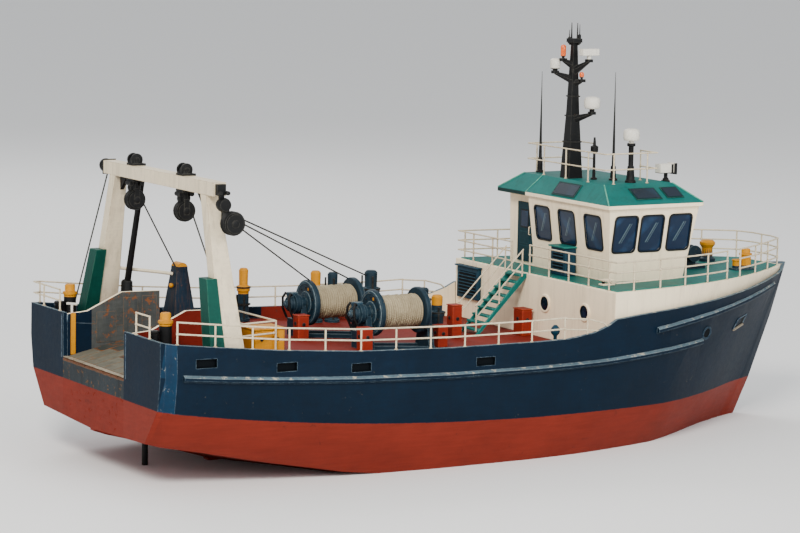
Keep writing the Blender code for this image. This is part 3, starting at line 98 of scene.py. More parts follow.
class Wire:
    """Output of a shader node, with arithmetic that adds Math nodes."""

    def __init__(self, graph: "Graph", socket: bpy.types.NodeSocket) -> None:
        """Keeps the socket and the graph that it belongs to."""
        self.graph = graph
        self.socket = socket

    def __add__(self, other: object) -> "Wire":
        """Adds a number or a wire."""
        return self.graph.math("ADD", self, other)

    def __sub__(self, other: object) -> "Wire":
        """Subtracts a number or a wire."""
        return self.graph.math("SUBTRACT", self, other)

    def __rsub__(self, other: object) -> "Wire":
        """Subtracts this wire from a number."""
        return self.graph.math("SUBTRACT", other, self)

    def __mul__(self, other: object) -> "Wire":
        """Multiplies by a number or a wire."""
        return self.graph.math("MULTIPLY", self, other)

    def clamped(self) -> "Wire":
        """Keeps the result of this wire's own Math node between 0 and 1."""
        self.socket.node.use_clamp = True
        return self


class Graph:
    """Short-hand for wiring one shader node tree."""

    def __init__(self, tree: bpy.types.NodeTree) -> None:
        """Keeps the tree that nodes are added to."""
        self.tree = tree

    def feed(self, node: bpy.types.Node, inputs: dict) -> bpy.types.Node:
        """Sets a node's inputs, or links those that are given a wire, by socket name or index."""
        for name, value in inputs.items():
            if isinstance(value, Wire):
                self.tree.links.new(value.socket, node.inputs[name])
            else:
                node.inputs[name].default_value = value
        return node

    def add(self, kind: str, inputs: dict, output: object = 0, **settings: object) -> Wire:
        """Adds a node.

        Args:
            kind: Node type after "ShaderNode", such as Math.
            inputs: Socket name or index to a value or a wire.
            output: Name or index of the output to return.
            settings: Attributes of the node.

        Returns:
            The output's wire.
        """
        node = self.tree.nodes.new(f"ShaderNode{kind}")
        for name, value in settings.items():
            setattr(node, name, value)
        return Wire(self, self.feed(node, inputs).outputs[output])

    def math(self, operation: str, first: object, second: object = 0.0) -> Wire:
        """Adds a Math node."""
        return self.add("Math", {0: first, 1: second}, operation=operation)

    def mix(self, share: object, first: object, second: object) -> Wire:
        """Adds a colour Mix node."""
        return self.add("Mix", {0: share, 6: first, 7: second}, 2, data_type="RGBA", blend_type="MIX")

    def ramp(self, value: Wire, low: float, high: float) -> Wire:
        """Adds a Map Range from low..high to 0..1."""
        return self.add("MapRange", {0: value, 1: low, 2: high, 3: 0.0, 4: 1.0}, clamp=True)

    def noise(self, vector: Wire, scale: object, detail: float = 4.0, roughness: float = 0.55,
              distortion: float = 0.0) -> Wire:
        """Adds a Noise Texture."""
        return self.add("TexNoise", {"Vector": vector, "Scale": scale, "Detail": detail, "Roughness": roughness,
                                     "Distortion": distortion}, "Fac")

    def place(self) -> Wire:
        """Adds the object's own coordinates."""
        return self.add("TexCoord", {}, "Object")

    def stretched(self, place: Wire, scale: Point) -> Wire:
        """Adds a Mapping that scales coordinates, so that noise is drawn out along an axis."""
        return self.add("Mapping", {"Vector": place, "Scale": scale})

    def split(self, place: Wire) -> list[Wire]:
        """Adds a Separate XYZ and returns its three outputs."""
        node = self.feed(self.tree.nodes.new("ShaderNodeSeparateXYZ"), {0: place})
        return [Wire(self, socket) for socket in node.outputs]

    def lit(self, colour: object, value: Wire) -> Wire:
        """Adds a node that scales a colour's brightness."""
        return self.add("HueSaturation", {"Hue": 0.5, "Saturation": 1.0, "Value": value, "Fac": 1.0, "Color": colour})

    def bump(self, height: Wire, strength: float, distance: float) -> Wire:
        """Adds a Bump node."""
        return self.add("Bump", {"Height": height, "Strength": strength, "Distance": distance})


def weathered_paint() -> bpy.types.NodeTree:
    """Returns the paint group, built once: mottled colour, streaks that run down, and chips down to the metal."""
    found = bpy.data.node_groups.get("weathered_paint")
    if found:
        return found
    tree = bpy.data.node_groups.new("weathered_paint", "ShaderNodeTree")
    for name in ("Paint", "Under", "Streak", "Edge"):
        tree.interface.new_socket(name=name, in_out="INPUT", socket_type="NodeSocketColor")
    for name in ("Wear", "Streaks", "Mottle", "Scale"):
        tree.interface.new_socket(name=name, in_out="INPUT", socket_type="NodeSocketFloat")
    for name, kind in (("Color", "Color"), ("Roughness", "Float"), ("Height", "Float")):
        tree.interface.new_socket(name=name, in_out="OUTPUT", socket_type=f"NodeSocket{kind}")
    graph = Graph(tree)
    node = tree.nodes.new("NodeGroupInput")
    paint, under, streak, rim, wear, streaks, mottle, scale = (Wire(graph, socket) for socket in node.outputs[:8])

    place = graph.place()
    broad = graph.noise(place, scale * 0.9, 5.0, 0.6)
    grain = graph.noise(place, scale * 7.0, 8.0, 0.68)
    brush = graph.noise(graph.stretched(place, (1.2, 5.0, 9.0)), scale * 1.6, 6.0, 0.6)
    tone = ((broad - 0.5) * 1.2 + (grain - 0.5) * 0.9 + (brush - 0.5) * 0.7) * mottle
    runs = graph.ramp(graph.noise(graph.stretched(place, (3.2, 3.2, 0.22)), scale * 1.5, 6.0, 0.7), 0.50, 0.72)
    runs = (runs * streaks * grain).clamped()
    streaked = graph.mix((runs * 1.6).clamped(), graph.lit(paint, tone + 1.0), streak)

    chips = graph.noise(place, scale * 4.6, 12.0, 0.74, 0.25)
    chipped = ((chips - (0.74 - wear * 0.22)) * 28.0).clamped()
    corner, flat = graph.add("Bevel", {"Radius": 0.035}, samples=4), graph.add("NewGeometry", {}, "Normal")
    turn = graph.add("VectorMath", {0: corner, 1: flat}, "Value", operation="DOT_PRODUCT")
    rubbed = graph.ramp(1.0 - turn, 0.01, 0.12) * graph.ramp(chips, 0.38, 0.56)
    rubbed = (rubbed * (wear * 2.2)).clamped()
    bare = graph.math("MAXIMUM", chipped, rubbed)
    graph.feed(tree.nodes.new("NodeGroupOutput"), {
        "Color": graph.mix(rubbed, graph.mix(chipped, streaked, under), rim),
        "Roughness": bare * 0.35 + grain * 0.22,
        "Height": grain * 0.5 - bare * 0.5 + broad * 1.2})
    return tree


@dataclass(frozen=True)
class Finish:
    """A material by name, and a slot name, which nothing in this script reads."""

    label: str
    slot: str

    def material(self) -> bpy.types.Material:
        """Returns the finish's material, built on first use."""
        made = bpy.data.materials.get(self.label)
        if made is None:
            made = bpy.data.materials.new(self.label)
            made.use_nodes = True
            graph = Graph(made.node_tree)
            graph.feed(made.node_tree.nodes["Principled BSDF"], self.surface(graph))
        return made

    def surface(self, graph: Graph) -> dict:
        """Returns the shader's inputs, as values and wires of the graph."""
        raise NotImplementedError


@dataclass(frozen=True)
class PaintFinish(Finish):
    """A weathered paint over steel. Its colours are the paint, what is under it, its streaks and its rubbed edges."""

    colours: str
    wear: float = 0.30
    streaks: float = 0.30
    mottle: float = 0.35
    roughness: float = 0.42
    gloss: float = 0.15
    metallic: float = 0.0
    scale: float = 1.0

    def material(self) -> bpy.types.Material:
        """Returns the material, with the paint as its plain colour too."""
        made = super().material()
        made.diffuse_color = screen(self.colours[:6])
        return made

    def surface(self, graph: Graph) -> dict:
        """Returns the shader's inputs, from the paint group and what lies over it."""
        node = graph.tree.nodes.new("ShaderNodeGroup")
        node.node_tree = weathered_paint()
        graph.feed(node, dict(zip(("Paint", "Under", "Streak", "Edge"), map(screen, self.colours.split()))))
        graph.feed(node, {"Wear": self.wear, "Streaks": self.streaks, "Mottle": self.mottle, "Scale": self.scale})
        colour, rough, height = (Wire(graph, socket) for socket in node.outputs[:3])
        return {"Base Color": self.overlaid(graph, colour), "Roughness": (rough + self.roughness).clamped(),
                "Specular IOR Level": self.gloss, "Metallic": self.metallic,
                "Normal": graph.bump(height, 0.6, 0.012)}

    def overlaid(self, graph: Graph, colour: Wire) -> Wire:
        """Returns the colour with what lies over it, which is nothing on plain paint."""
        return colour


@dataclass(frozen=True)
class HullFinish(PaintFinish):
    """A weathered paint that changes to the bottom paint below a curved line."""

    bottom: Colour = screen("702418")
    fouling: Colour = screen("3e1814")
    line_z: float = 1.36
    line_bend_x: float = 2.0
    stern_rise: float = 0.002564
    stern_power: float = 2.257
    bow_fall: float = 0.021

    def overlaid(self, graph: Graph, colour: Wire) -> Wire:
        """Returns the colour of the topsides with the bottom paint laid over it below the paint line."""
        place = graph.place()
        x, _, z = graph.split(place)
        aft = graph.math("MAXIMUM", self.line_bend_x - x, 0.0)
        fore = graph.math("MAXIMUM", x - self.line_bend_x, 0.0)
        line = graph.math("POWER", aft, self.stern_power) * self.stern_rise + self.line_z - fore * self.bow_fall
        ragged = (graph.noise(place, 9.0, 6.0, 0.7) - 0.5) * 0.05
        below = graph.ramp(line + ragged - z, 0.0, 0.015)
        soft = graph.noise(place, 0.8, 6.0, 0.62)
        brush = graph.noise(graph.stretched(place, (0.5, 1.0, 6.0)), 2.2, 6.0, 0.62)
        red = graph.lit(self.bottom, soft * 0.50 + brush * 0.60 + 0.45)
        foul = graph.ramp(graph.noise(place, 3.4, 10.0, 0.75), 0.60, 0.70)
        return graph.mix(below, colour, graph.mix(foul * 0.55, red, self.fouling))


@dataclass(frozen=True)
class RopeFinish(Finish):
    """Wound rope: fine turns across the drum's axis with lighter and darker lays."""

    light: Colour = screen("c6b896")
    dark: Colour = screen("60523a")

    def surface(self, graph: Graph) -> dict:
        """Returns the shader's inputs."""
        place = graph.place()
        lay = graph.add("TexWave", {"Vector": place, "Scale": 14.0, "Distortion": 2.2, "Detail": 3.0,
                                    "Detail Scale": 3.0}, "Fac", bands_direction="DIAGONAL")
        fuzz, patch = graph.noise(place, 38.0, 6.0, 0.7), graph.noise(place, 2.2, 4.0, 0.6)
        share = (lay * 0.35 + fuzz * 0.55 + (patch - 0.5) * 0.7).clamped()
        return {"Base Color": graph.mix(share, self.dark, self.light), "Roughness": 0.88,
                "Normal": graph.bump(share, 0.8, 0.01)}


@dataclass(frozen=True)
class GlassFinish(Finish):
    """Dark tinted window glass with soft diagonal bands of painted sky reflection."""

    tint: Colour
    # Colour of the painted reflection bands.
    sky: Colour

    def surface(self, graph: Graph) -> dict:
        """Returns the shader's inputs."""
        place = graph.place()
        x, y, z = graph.split(place)
        # A sine across the pane, broken up by noise, lays the light diagonal bands: a painted reflection.
        wave = graph.math("SINE", (x + y + z * -0.8) * 5.2)
        band = graph.ramp(wave, 0.35, 0.95) * graph.ramp(graph.noise(place, 1.6, 5.0, 0.6), 0.35, 0.62)
        foot = graph.ramp(graph.noise(place, 5.0, 6.0, 0.6), 0.30, 0.75)
        return {"Base Color": graph.mix(band * (foot * 0.4 + 0.45), self.tint, self.sky), "Roughness": 0.22,
                "Specular IOR Level": 0.22}


@dataclass(frozen=True)
class LampFinish(Finish):
    """Ribbed lamp lens that glows a little; with no glow it also makes the painted reflection streaks on the windows.
    """

    lens: Colour
    glow: float

    def surface(self, graph: Graph) -> dict:
        """Returns the shader's inputs."""
        dim = (*(channel * 0.6 for channel in self.lens[:3]), 1.0)
        colour = graph.mix(graph.ramp(graph.noise(graph.place(), 22.0, 3.0), 0.3, 0.7), self.lens, dim)
        return {"Base Color": colour, "Emission Color": colour, "Emission Strength": self.glow, "Roughness": 0.2}


NAVY = PaintFinish("navy_paint", "hull_blue", "031626 605444 081420 5c707e", wear=0.42, streaks=0.6, mottle=0.62,
                   roughness=0.46, gloss=0.1)
HULL_NAVY = HullFinish("navy_hull_paint", "hull_blue", "031626 585448 081420 647680", wear=0.4, streaks=0.6,
                       mottle=0.62, roughness=0.46, gloss=0.1)
# A lighter, weathered navy on the stern's corner faces, the ramp's corner strips and the anchor pocket rims: a painted
# highlight on these edges.
HULL_HIGHLIGHT_EDGE = HullFinish("navy_highlight_edge_paint", "hull_blue", "0e2a40 828278 102438 808e96", wear=0.6, streaks=0.9,
                       mottle=0.7, roughness=0.5, gloss=0.1)
# Lighter blue-grey on every upward-facing hull face above the rubbing height: worn paint on the caps, and a painted
# highlight on the tops.
HULL_WORN_LIT_CAP = HullFinish("worn_highlit_cap_paint", "hull_blue", "4a5e68 a8a290 14283a 969c9a", wear=0.8, streaks=0.5, mottle=0.8,
                      roughness=0.5, gloss=0.1)
HULL_STEEL = HullFinish("sill_steel", "ramp_steel", "282e32 684c32 1c1c1c 6e604c", wear=0.75, streaks=0.9, mottle=0.9,
                        roughness=0.55, gloss=0.12)
BOTTOM = PaintFinish("bottom_red_paint", "antifouling", "702418 461e18 501a14 964632", wear=0.42, streaks=0.5,
                     mottle=0.5, roughness=0.55, gloss=0.1)
DECK_RED = PaintFinish("deck_red_paint", "signal_red", "702016 483028 4e1e16 543c30", wear=0.55, streaks=0.2,
                       mottle=0.55, roughness=0.55, gloss=0.1)
CREAM = PaintFinish("cream_paint_worn", "cream_paint", "fae8c6 967050 967e60 a88660", wear=0.2, streaks=0.34,
                    mottle=0.1, roughness=0.4, gloss=0.3)
ROOF_GREEN = PaintFinish("roof_green_paint", "deck_green", "00605a 46867a 063a34 4e9e90", wear=0.4, streaks=0.5,
                         mottle=0.5, roughness=0.42, gloss=0.15)
DARK_GREEN = PaintFinish("shoe_green_paint", "deck_green", "062c2a 5c4a34 061c1c 3a6054", wear=0.5, streaks=0.5,
                         mottle=0.5, gloss=0.12)
RAMP_STEEL = PaintFinish("ramp_steel_worn", "ramp_steel", "646154 8c5a32 3c3832 805e3e", wear=0.6, streaks=0.5,
                         mottle=0.9, roughness=0.6, gloss=0.15, scale=0.9)
RUSTY_STEEL = PaintFinish("rusty_wall_steel", "ramp_steel", "424442 72482e 2c3236 705842", wear=0.8, streaks=0.9,
                          mottle=0.9, roughness=0.6, gloss=0.12, scale=0.8)
PALE_STEEL = PaintFinish("pale_sill_steel", "ramp_steel", "948c7a 6e543c 605648 6e5842", wear=0.7, streaks=0.4,
                         mottle=0.5)
BLACK = PaintFinish("black_steel_paint", "black_steel", "090a0b 48382a 0e0e0e 484640", wear=0.42, streaks=0.3,
                    mottle=0.7, roughness=0.42, gloss=0.2, scale=1.6)
RUBBER = PaintFinish("black_seal", "black_steel", "0a1014 1e2428 080808 242e36", wear=0.2, streaks=0.1, mottle=0.3,
                     gloss=0.2)
# Near-black paint laid in holes and recesses (freeing ports, hawse holes, anchor pockets, behind vent slats): painted
# shade.
OPENING_SHADE = PaintFinish("painted_opening_shade", "black_steel", "060a0e 0e1214 040608 141a1e", wear=0.1, streaks=0.1,
                       mottle=0.2, gloss=0.05)
MACHINE = PaintFinish("machine_blue_paint", "machine_blue", "122834 68543a 0a141a 52646a", wear=0.5, streaks=0.4,
                      mottle=0.65, roughness=0.42, gloss=0.2, scale=1.4)
LOUVRE = PaintFinish("louvre_blue_paint", "machine_blue", "103242 3c4646 081820 3c5c68", wear=0.4, streaks=0.4,
                     mottle=0.4, gloss=0.12)
RUSTY_NAVY = PaintFinish("rusty_tower_paint", "machine_blue", "10202e 623e2a 463226 685038", wear=0.55, streaks=0.7,
                         mottle=0.7, gloss=0.12, scale=1.8)
SIGNAL_RED = PaintFinish("signal_red_paint", "signal_red", "822414 562a1c 602014 ce5c34", wear=0.46, streaks=0.5,
                         mottle=0.45, gloss=0.15, scale=1.4)
YELLOW = PaintFinish("yellow_steel_paint", "yellow_paint", "c08000 603c1e 784610 784c22", wear=0.46, streaks=0.5,
                     mottle=0.35, gloss=0.2, scale=1.6)
WHITE = PaintFinish("white_shell", "radome_white", "d6d2c6 968a76 786c5a 968a76", wear=0.16, streaks=0.3, mottle=0.16,
                    roughness=0.34, gloss=0.3, scale=1.6)
BRONZE = PaintFinish("cast_bronze", "bronze", "b08446 546e5c 5a4628 d2aa64", wear=0.3, mottle=0.3, roughness=0.28,
                     gloss=0.5, metallic=1.0)
SEAM_STEEL = PaintFinish("dark_seam_steel", "ramp_steel", "523420 281e18 12100e 6e3e20", wear=0.9, streaks=0.3,
                         mottle=0.6)
RAMP_DARK = PaintFinish("ramp_plate_dark", "ramp_steel", "3a3e3a 764624 282826 8c542a", wear=0.9, streaks=0.5,
                        mottle=0.9, roughness=0.6, gloss=0.15)
SHOE_GREEN = PaintFinish("gantry_shoe_green", "deck_green", "064238 142824 062220 427864", wear=0.42, streaks=0.4,
                         mottle=0.5, gloss=0.12)
RIDGE_GREEN = PaintFinish("roof_ridge_green", "deck_green", "3a8c76 82aa96 1e6054 78b49e", wear=0.5, streaks=0.3,
                          mottle=0.5, gloss=0.15)
RAIL_CREAM = PaintFinish("rail_cream_paint", "cream_paint", "d6caae 70543a 78644c 967856", wear=0.42, streaks=0.3,
                         mottle=0.22, gloss=0.3, scale=2.0)
DOOR_BLUE = PaintFinish("door_blue_paint", "machine_blue", "0a2c34 3c4642 06181e 2e545a", wear=0.35, streaks=0.5,
                        mottle=0.5, gloss=0.12)
MACHINE_WORN = PaintFinish("machine_blue_worn", "machine_blue", "223a48 787a70 0e1c22 788688", wear=0.7, streaks=0.3,
                           mottle=0.7, gloss=0.2, scale=1.8)
WIRE = PaintFinish("wire_rope_steel", "black_steel", "2c2c2a 605442 181818 50504c", wear=0.4, streaks=0.1, mottle=0.8,
                   gloss=0.2, scale=5.0)
LEG_CREAM = PaintFinish("leg_cream_paint", "cream_paint", "d8caae 8c7052 80705a 967c5c", wear=0.36, streaks=0.5,
                        mottle=0.3, gloss=0.2, scale=1.4)
ROPE = RopeFinish("wound_rope", "rope")
WINDOW = GlassFinish("window_glass", "machine_blue", screen("081e36"), screen("1e4060"))
PORT_GLASS = GlassFinish("porthole_glass", "machine_blue", screen("041222"), screen("122c44"))
SKYLIGHT = GlassFinish("skylight_glass", "machine_blue", screen("041826"), screen("0e3042"))
# Pale streaks on the window glass: a painted reflection, drawn with the lamp-lens material at no glow.
GLINT = LampFinish("window_glint", "machine_blue", screen("546c74"), 0.0)
AMBER_LAMP = LampFinish("amber_lens", "radome_white", screen("e26014"), 0.25)


Chooser = Callable[[Vector, Vector], Finish]
Plane = tuple[Vector, Vector]


def cut(axis: Vector, place: float) -> Plane:
    """Returns the plane across an axis at a place along it."""
    return axis * place, axis


def by_height(z: float, above: Finish, below: Finish) -> Chooser:
    """Returns a chooser that gives the faces above a height one finish, and the others another."""
    return lambda centre, normal: above if centre.z > z else below


def corners_of(node: str) -> tuple[Vector, Vector]:
    """Returns the low and the high corner of a CAD node's box."""
    low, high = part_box(node)
    return Vector(low), Vector(high)


def turns(count: int, start: float = 0.0) -> list[float]:
    """Returns angles spread evenly over a full turn, the first one a share of a step on."""
    return [math.tau * (i + start) / count for i in range(count)]


class Shape:
    """Collects solids in one mesh, in the frame's own metres."""

    def __init__(self) -> None:
        """Starts an empty mesh."""
        self.bm = bmesh.new()

    def box(self, first: Point, second: Point, turn: Optional[Matrix] = None) -> "Shape":
        """Adds a box between two opposite corners, turned about its centre where asked."""
        low, high = (Vector(map(pick, first, second)) for pick in (min, max))
        matrix = Matrix.Translation((low + high) / 2) @ (turn or Matrix()) @ Matrix.Diagonal((*(high - low), 1.0))
        bmesh.ops.create_cube(self.bm, size=1.0, matrix=matrix)
        return self

    def loft(self, rings: Sequence[Sequence[Point]], closed: bool = False) -> "Shape":
        """Joins rings of equal length, as a tube with ends or as a closed ring."""
        rows = [[self.bm.verts.new(point) for point in ring] for ring in rings]
        pairs = list(zip(rows, rows[1:]))
        if closed:
            pairs.append((rows[-1], rows[0]))
        for near, far in pairs:
            for i in range(len(near)):
                j = (i + 1) % len(near)
                self.bm.faces.new((near[i], near[j], far[j], far[i]))
        if not closed:
            self.bm.faces.new(rows[0])
            self.bm.faces.new(rows[-1])
        return self

    def turned(self, profile: Sequence[tuple[float, float]], start: Point, axis: Point, sides: int = 24,
               closed: bool = False) -> "Shape":
        """Turns a profile about an axis.

        Args:
            profile: Rows of distance along the axis and radius.
            start: Point that the distances are measured from.
            axis: Direction of the axis, of any length.
            sides: Number of sides.
            closed: Whether the profile is the section of a ring.

        Returns:
            This shape.
        """
        base = Matrix.Translation(start) @ Vector(axis).to_track_quat("Z", "Y").to_matrix().to_4x4()
        return self.loft([[base @ Vector((radius * math.cos(turn), radius * math.sin(turn), distance))
                           for turn in turns(sides)] for distance, radius in profile], closed)

    def rod(self, start: Point, end: Point, radius: float, sides: int = 12) -> "Shape":
        """Adds a round rod between two points."""
        axis = Vector(end) - Vector(start)
        return self.turned(((0.0, radius), (axis.length, radius)), start, axis, sides)

    def tube(self, path: Sequence[Point], radius: float, sides: int = 10) -> "Shape":
        """Adds a round tube along a polyline, mitred at its bends."""
        points = [Vector(point) for point in path]
        directions = [(b - a).normalized() for a, b in zip(points, points[1:])]
        rings, previous, quat = [], None, None
        for i, point in enumerate(points):
            before, after = directions[max(i - 1, 0)], directions[min(i, len(directions) - 1)]
            middle = (before + after).normalized()
            quat = previous.rotation_difference(middle) @ quat if i else middle.to_track_quat("Z", "Y")
            previous = middle
            bend = after - before
            bend = bend.normalized() if bend.length > 1e-6 else Vector()
            stretch = 1.0 / max(0.55, middle.dot(after))
            offsets = [(quat @ FORE) * (radius * math.cos(turn)) + (quat @ PORTWARD) * (radius * math.sin(turn))
                       for turn in turns(sides)]
            rings.append([point + offset + bend * offset.dot(bend) * (stretch - 1.0) for offset in offsets])
        return self.loft(rings)

    def place(self, name: str, finish: Finish, body: Body = Body.VESSEL, replaces: Sequence[str] = (),
              bevel: float = 0.0, smooth: float = 35.0) -> bpy.types.Object:
        """Makes the mesh an object that rides on a body.

        Args:
            name: Name of the piece.
            finish: Finish of the whole piece.
            body: Body that it rides on.
            replaces: CAD nodes that it stands for.
            bevel: Width of the softened edges, in metres.
            smooth: Largest angle that is shaded smooth, in degrees.

        Returns:
            The object.
        """
        bmesh.ops.recalc_face_normals(self.bm, faces=self.bm.faces)
        return settle(name, self.bm, [finish], body, replaces, bevel, smooth)


def settle(name: str, bm: bmesh.types.BMesh, finishes: Sequence[Finish], body: Body, replaces: Sequence[str],
           bevel: float, smooth: float) -> bpy.types.Object:
    """Makes an object of a mesh, with its materials, shading and softened edges, and rides it on its body."""
    mesh = bpy.data.meshes.new(name)
    bm.to_mesh(mesh)
    bm.free()
    for finish in finishes:
        mesh.materials.append(finish.material())
    mesh.shade_smooth()
    mesh.set_sharp_from_angle(angle=math.radians(smooth))
    made = bpy.data.objects.new(name, mesh)
    bpy.context.scene.collection.objects.link(made)
    if bevel > 0:
        step = made.modifiers.new("softened_edges", "BEVEL")
        step.width = bevel
        step.segments = 2
        step.limit_method = "ANGLE"
        step.angle_limit = math.radians(32)
        step.use_clamp_overlap = True
    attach(made, body.value)
    if replaces:
        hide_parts(*replaces)
    LOG.info("made %s with %d faces", name, len(mesh.polygons))
    return made


def dress(node: str, finishes: Sequence[Finish], body: Body = Body.VESSEL, bevel: float = 0.01,
          smooth: float = 32.0, choose: Optional[Chooser] = None, cuts: Sequence[Plane] = ()) -> bpy.types.Object:
    """Replaces a CAD node by a copy with softened edges and one or more finishes.

    Args:
        node: Name of the CAD node.
        finishes: Finishes, the first being the main one.
        body: Body that the copy rides on.
        bevel: Width of the softened edges, in metres.
        smooth: Largest angle that is shaded smooth, in degrees.
        choose: Picks one of the finishes from a face's centre and normal.
        cuts: Planes that split faces where the finish changes.

    Returns:
        The copy.
    """
    bm = bmesh.new()
    bm.from_mesh(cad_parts[node].data)
    bmesh.ops.remove_doubles(bm, verts=bm.verts, dist=0.00005)
    for point, normal in cuts:
        bmesh.ops.bisect_plane(bm, geom=[*bm.verts, *bm.edges, *bm.faces], plane_co=point, plane_no=normal)
    bm.normal_update()
    for face in bm.faces:
        face.material_index = finishes.index(choose(face.calc_center_median(), face.normal)) if choose else 0
    bmesh.ops.dissolve_limit(bm, angle_limit=math.radians(0.6), verts=bm.verts, edges=bm.edges,
                             delimit={"MATERIAL"})
    return settle(f"{node}_dressed", bm, finishes, body, [node], bevel, smooth)


@dataclass
class Studio:
    """Camera, floor and lights."""

    azimuth: float = 30.4
    elevation: float = 7.2
    roll: float = 1.0
    lens: float = 135.0
    eye: Point = (-46.99, -76.73, 16.57)
    floor_half: float = 400.0

    def build(self) -> None:
        """Makes the camera, the floor and the lights."""
        self.camera()
        self.floor()
        self.lights()

    @staticmethod
    def link(name: str, data: bpy.types.ID) -> bpy.types.Object:
        """Puts an object in the scene and returns it."""
        made = bpy.data.objects.new(name, data)
        bpy.context.scene.collection.objects.link(made)
        return made

    def camera(self) -> None:
        """Places the camera at the picture's viewing angle."""
        a, e, r = (math.radians(angle) for angle in (self.azimuth, self.elevation, self.roll))
        forward = Vector((math.sin(a) * math.cos(e), math.cos(a) * math.cos(e), -math.sin(e)))
        right = Vector((math.cos(a), -math.sin(a), 0.0))
        up = right.cross(forward)
        right, up = right * math.cos(r) + up * math.sin(r), up * math.cos(r) - right * math.sin(r)
        data = bpy.data.cameras.new("view_camera")
        data.lens = self.lens
        data.sensor_width = 36.0
        data.clip_end = 2000.0
        made = self.link("view_camera", data)
        made.matrix_world = Matrix.Translation(self.eye) @ Matrix((right, up, -forward)).transposed().to_4x4()
        bpy.context.scene.camera = made

    def floor(self) -> None:
        """Makes the pale floor at the waterline."""
        half = self.floor_half
        bm = bmesh.new()
        bm.faces.new([bm.verts.new((x * half, y * half, 0.0)) for x, y in ((-1, -1), (1, -1), (1, 1), (-1, 1))])
        mesh = bpy.data.meshes.new("floor")
        bm.to_mesh(mesh)
        bm.free()
        paper = bpy.data.materials.new("floor_paper")
        paper.use_nodes = True
        Graph(paper.node_tree).feed(paper.node_tree.nodes["Principled BSDF"],
                                    {"Base Color": (0.86, 0.86, 0.85, 1.0), "Roughness": 0.9})
        mesh.materials.append(paper)
        self.link("floor", mesh)

    def lights(self) -> None:
        """Makes the soft sky and three large lamps."""
        world = bpy.data.worlds.new("studio_sky")
        world.use_nodes = True
        Graph(world.node_tree).feed(world.node_tree.nodes["Background"],
                                    {"Color": (0.95, 0.97, 1.0, 1.0), "Strength": 0.80})
        bpy.context.scene.world = world
        for name, eye, aim, size, power, colour in (
                ("key_lamp", (-58.0, -62.0, 62.0), (0.0, 0.0, 3.0), 26.0, 105000.0, (1.0, 0.96, 0.90)),
                ("fill_lamp", (10.0, -90.0, 40.0), (2.0, 0.0, 4.0), 44.0, 42000.0, (0.96, 0.98, 1.0)),
                ("back_lamp", (10.0, 70.0, 60.0), (0.0, 0.0, 4.0), 40.0, 26000.0, (1.0, 1.0, 1.0))):
            data = bpy.data.lights.new(name, "AREA")
            data.size = size
            data.energy = power
            data.color = colour
            made = self.link(name, data)
            made.location = eye
            made.rotation_euler = (Vector(aim) - Vector(eye)).to_track_quat("-Z", "Y").to_euler()


@dataclass(frozen=True)
class HullLine:
    """Edge of the bulwark and height of the deck along the hull, as the part's source has them."""

    rows: tuple[tuple[float, float, float, float], ...] = (
        (-12.0, 4.36, 4.25, 3.95), (-11.62, 4.64, 4.20, 3.92), (-10.0, 4.70, 4.03, 3.75), (-8.4, 4.73, 3.87, 3.59),
        (-6.0, 4.75, 3.70, 3.42), (-3.0, 4.75, 3.61, 3.18), (0.0, 4.75, 3.60, 3.05), (1.0, 4.74, 3.62, 3.02),
        (1.9, 4.72, 3.74, 3.00), (2.4, 4.69, 3.90, 2.99), (2.75, 4.66, 4.08, 2.98), (5.0, 4.32, 4.22, 3.52),
        (7.0, 3.78, 4.33, 3.66), (9.0, 2.86, 4.47, 3.82), (10.6, 1.82, 4.60, 3.95), (11.6, 1.00, 4.70, 4.05),
        (12.4, 0.09, 4.80, 4.15))
    fine_from: float = 2.75
    crown: float = 0.0009

    def fine(self) -> list[tuple[float, ...]]:
        """Returns the rows with the bow's in-between rows filled in."""
        made = []
        for index, row in enumerate(self.rows[:-1]):
            made.append(row)
            if row[0] < self.fine_from:
                continue
            ends = self.rows[index - 1:index + 3]
            if len(ends) == 4:
                made.append(tuple((9 * (b + c) - a - d) / 16 for a, b, c, d in zip(*ends)))
            else:
                made.append(tuple((b + c) / 2 for _, b, c in zip(*ends)))
        return [*made, self.rows[-1]]

    def value(self, x: float, column: int) -> float:
        """Returns a column's value at x."""
        rows = self.fine()
        for low, high in zip(rows, rows[1:]):
            if low[0] <= x <= high[0]:
                return low[column] + (high[column] - low[column]) * (x - low[0]) / (high[0] - low[0])
        return rows[-1][column] if x > 0 else rows[0][column]

    def breadth(self, x: float) -> float:
        """Returns the half breadth at the bulwark's edge."""
        return self.value(x, 1)

    def rail(self, x: float) -> float:
        """Returns the height of the bulwark's edge."""
        return self.value(x, 2)

    def deck(self, x: float) -> float:
        """Returns the height of the deck at the side."""
        return self.value(x, 3)

    def side(self, x_from: float, x_to: float, side: int, inset: float, z: Optional[float] = None) -> list[Point]:
        """Makes a path along one side of the hull.

        Args:
            x_from: x of the start.
            x_to: x of the end.
            side: 1 for port, -1 for starboard.
            inset: Distance inside the hull's edge.
            z: Height, or None to follow the bulwark's top.

        Returns:
            A point at each row between the ends, and both ends.
        """
        low, high = min(x_from, x_to), max(x_from, x_to)
        spots = [low, *(row[0] for row in self.fine() if low + 0.001 < row[0] < high - 0.001), high]
        if x_from > x_to:
            spots.reverse()
        return [(x, side * (self.breadth(x) - inset), self.rail(x) + self.crown if z is None else z) for x in spots]


LINE = HullLine()


